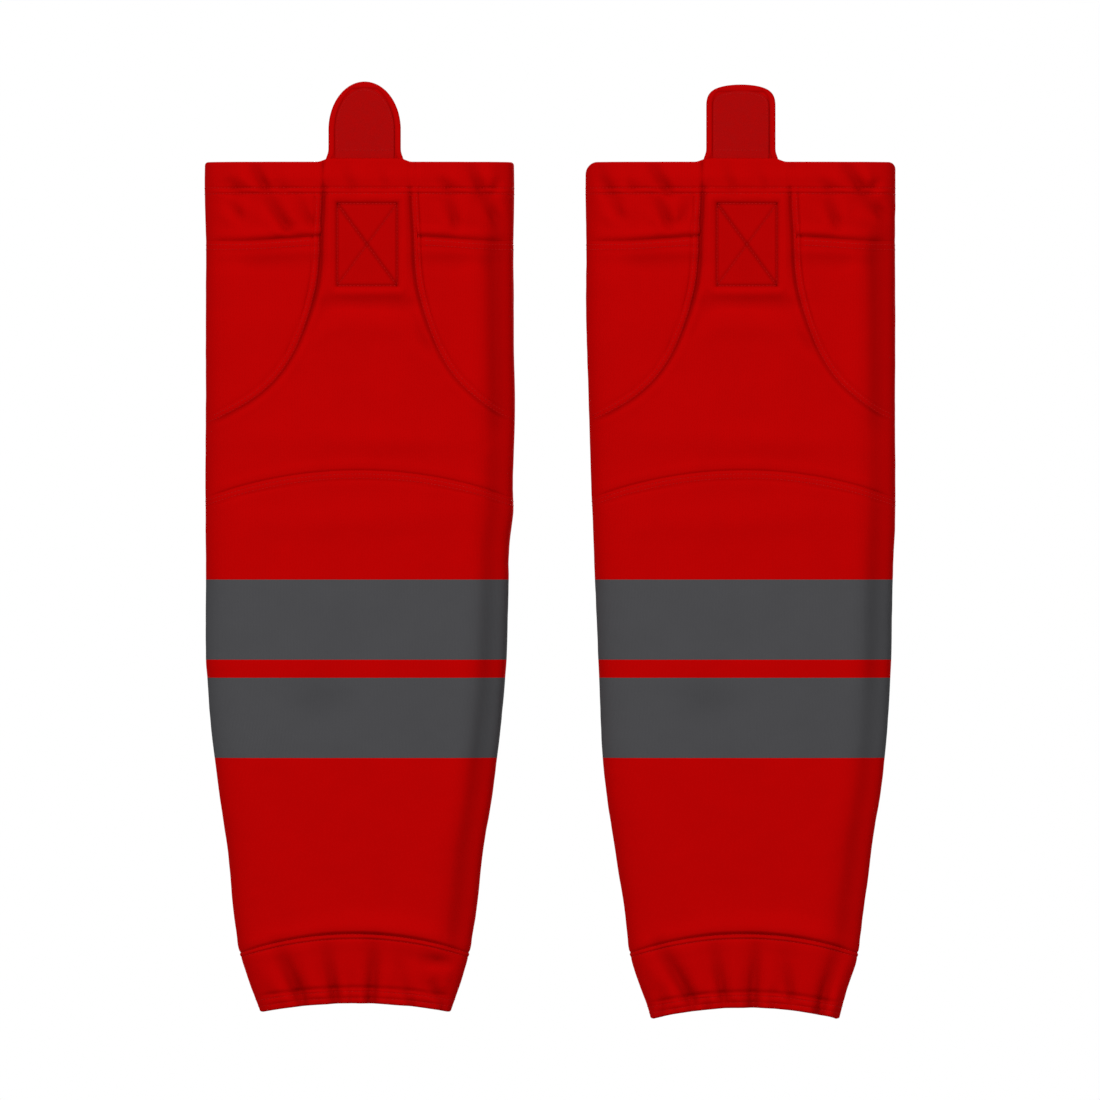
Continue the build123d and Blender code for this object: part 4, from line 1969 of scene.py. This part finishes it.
@dataclass(frozen=True)
class Studio:
    """Pale floor, soft light and a level camera in front of the pair."""

    view_width: float = 0.92015
    view_middle: tuple[float, float, float] = (-0.00084, 0.0, 0.3919)
    lens: float = 600.0
    sensor: float = 36.0
    floor_height: float = -0.12
    ambient: float = 0.25
    lamps: tuple[Lamp, ...] = (
        Lamp("key", (-2.4, -4.75, 2.8), 1.3, 192.0),
        Lamp("fill", (3.7, -3.5, 0.95), 1.8, 64.0),
        Lamp("back", (1.2, 4.6, 2.6), 2.4, 150.0),
    )

    def build(self) -> None:
        """Adds camera, floor, world and lamps."""
        scene = bpy.context.scene
        scene.view_settings.view_transform = "Standard"
        data = bpy.data.cameras.new("camera")
        data.lens, data.sensor_width = self.lens, self.sensor
        camera = bpy.data.objects.new("camera", data)
        scene.collection.objects.link(camera)
        distance = self.lens * self.view_width / self.sensor
        camera.location = (self.view_middle[0], self.view_middle[1] - distance, self.view_middle[2])
        camera.rotation_euler = (math.pi / 2, 0, 0)
        scene.camera = camera
        self._floor()
        self._world(scene)
        for lamp in self.lamps:
            lamp.build(self.view_middle)

    def _floor(self) -> None:
        """A wide pale floor."""
        reach, behind, level = 14.0, 0.9, self.floor_height
        flat = [(-reach, -reach), (reach, -reach), (reach, behind), (-reach, behind)]
        corners = np.array([(x, y, level) for x, y in flat])
        floor = mesh_object("floor", corners / MM, np.array([[0, 1, 2, 3]]))
        floor.visible_diffuse = floor.visible_glossy = False
        material = Nodes("pale_floor").finish({
            "Base Color": (0.93, 0.93, 0.93, 1),
            "Roughness": 0.9,
            "Emission Color": (1, 1, 1, 1),
            "Emission Strength": 0.62,
        })
        floor.data.materials.append(material)

    def _world(self, scene: bpy.types.Scene) -> None:
        """A surround that is seen white and lights softly.

        Args:
            scene: the scene it surrounds.
        """
        world = bpy.data.worlds.new("surround")
        world.use_nodes = True
        scene.world = world
        tree = world.node_tree
        tree.nodes.clear()
        kinds = ("OutputWorld", "LightPath", "MixShader", "Background", "Background")
        output, path, mix, light, seen = (tree.nodes.new(f"ShaderNode{kind}") for kind in kinds)
        for node, strength in ((light, self.ambient), (seen, 1.0)):
            node.inputs["Strength"].default_value = strength
            node.inputs["Color"].default_value = (1, 1, 1, 1)
        ends = path.outputs["Is Camera Ray"], light.outputs[0], seen.outputs[0]
        for start, end in zip(ends, mix.inputs):
            tree.links.new(start, end)
        tree.links.new(mix.outputs[0], output.inputs["Surface"])


# --- the pair -----------------------------------------------------------------------------


SHARED_SWELLS = (
    Swell((5, 484), (95, 12), 2.0, -0.02),
    Swell((-8, 417), (72, 13), 2.0, 0.04),
    Swell((8, 598), (40, 6), -2.4),
    Crease((30, 602), (54, 566), 5.5, 1.1),
    Crease((-22, 603), (-38, 578), 5.5, 0.8),
    Swell((8, 580), (52, 11), 1.6),
    Swell((24, 76), (44, 13), 2.6, -0.12),
    Swell((-28, 266), (24, 17), -1.6),
    Swell((-74, 633), (44, 8), -1.5),
    Swell((78, 633), (38, 8), -1.4),
)

LEFT_SOCK = Character(
    panel=8.3,
    box=6.6,
    knee_laps=(0.0, -4.0),
    corners=(1.0, 0.8),
    left_bulges=(
        Bulge(700, 30, 0.5),
        Bulge(250, 30, 1.0),
        Bulge(136, 38, -2.4),
        Bulge(30, 18, 0.9),
    ),
    right_bulges=(
        Bulge(515, 55, 1.7),
        Bulge(424, 12, 1.0),
        Bulge(392, 22, -1.3),
        Bulge(268, 40, 1.1),
        Bulge(140, 36, -2.3),
        Bulge(30, 20, 1.0),
    ),
    hem_folds=(
        Crease((-90, 715), (-80, 698), 3.8, 2.8),
        Crease((-112, 704), (-104, 695), 5.0, 1.8),
        Crease((-70, 702), (-64, 695), 4.0, 1.4),
        Crease((-12, 713), (-6, 697), 4.2, 1.2),
        Crease((18, 712), (22, 697), 3.6, 0.9),
        Crease((66, 704), (74, 695), 4.0, 1.6),
        Crease((92, 716), (101, 696), 4.6, 2.6),
        Crease((118, 704), (114, 695), 4.0, 1.4),
        Crease((-108, 685), (-102, 674), 4.0, 2.0),
        Crease((-77, 686), (-62, 664), 3.8, 3.2),
        Crease((-50, 684), (-42, 668), 3.2, 2.0),
        Crease((75, 686), (80, 668), 4.0, 2.6),
        Crease((105, 687), (113, 672), 4.6, 2.4),
    ),
    cuff_folds=(
        Crease((-62, 56), (-47, 24), 5.4, 4.2),
        Crease((-50, 26), (-42, 6), 3.4, 2.2),
        Crease((-23, 58), (-17, 22), 4.4, 3.4),
        Crease((-18, 24), (-15, 6), 2.8, 2.0),
        Crease((-2, 32), (0, 8), 2.8, 1.8),
        Crease((17, 60), (13, 8), 4.2, 4.6),
        Crease((40, 40), (48, 8), 3.0, 2.2),
        Crease((52, 53), (68, 49), 5.0, 2.2),
        Crease((62, 34), (68, 24), 4.2, 2.4),
        Crease((78, 28), (74, 6), 3.2, 1.8),
    ),
    swells=SHARED_SWELLS,
    seed=11,
)

RIGHT_SOCK = Character(
    panel=6.0,
    box=5.0,
    knee_laps=(0.0, -3.4),
    corners=(8.0, 4.5),
    left_bulges=(
        Bulge(575, 60, 1.2),
        Bulge(136, 42, -2.2),
        Bulge(94, 22, -1.6),
        Bulge(40, 14, 0.8),
        Bulge(9, 8, -0.8),
    ),
    right_bulges=(
        Bulge(260, 50, 1.0),
        Bulge(146, 36, -2.3),
        Bulge(98, 20, -1.0),
        Bulge(45, 14, 1.0),
    ),
    hem_folds=(
        Crease((-76, 715), (-62, 694), 4.0, 2.8),
        Crease((-122, 714), (-112, 696), 5.4, 1.8),
        Crease((-98, 704), (-92, 695), 4.0, 1.4),
        Crease((-12, 713), (-7, 697), 4.2, 1.3),
        Crease((16, 712), (20, 697), 3.6, 0.9),
        Crease((86, 716), (99, 697), 4.2, 3.0),
        Crease((66, 703), (73, 695), 4.0, 1.4),
        Crease((118, 704), (112, 696), 4.0, 1.3),
        Crease((-70, 686), (-62, 668), 3.8, 2.8),
        Crease((-108, 685), (-102, 674), 4.0, 1.8),
        Crease((-44, 684), (-48, 670), 3.2, 1.6),
        Crease((72, 686), (79, 668), 4.0, 2.6),
        Crease((104, 686), (117, 675), 4.8, 2.4),
    ),
    cuff_folds=(
        Crease((-70, 60), (-46, 20), 4.8, 4.4),
        Crease((-50, 20), (-44, 4), 3.2, 2.0),
        Crease((-24, 58), (-18, 20), 4.2, 3.4),
        Crease((-34, 24), (-32, 4), 2.8, 1.8),
        Crease((10, 58), (6, 6), 4.2, 4.6),
        Crease((35, 48), (39, 20), 4.0, 2.4),
        Crease((26, 22), (25, 4), 2.8, 1.6),
        Crease((76, 52), (62, 4), 4.4, 4.4),
        Crease((-68, 22), (-72, 2), 3.4, 1.8),
        Crease((86, 30), (82, 12), 3.4, 1.6),
    ),
    swells=SHARED_SWELLS,
    seed=37,
)


def clear_scene() -> None:
    """Removes what a new Blender file starts with."""
    for name in ("Cube", "Light", "Camera"):
        if name in bpy.data.objects:
            bpy.data.objects.remove(bpy.data.objects[name], do_unlink=True)


def main() -> None:
    """Builds the pair and the studio, and reports each piece."""
    logging.basicConfig(level=logging.INFO, format="%(name)s %(message)s")
    clear_scene()
    Studio().build()
    finishes = Finishes.make()
    for side, character, top in (
        (Side.LEFT, LEFT_SOCK, TabTop.ROUND),
        (Side.RIGHT, RIGHT_SOCK, TabTop.SQUARE),
    ):
        LegCloth(side, character, finishes).build()
        Tab(side, finishes, top).build()


if __name__ == "__main__":
    main()
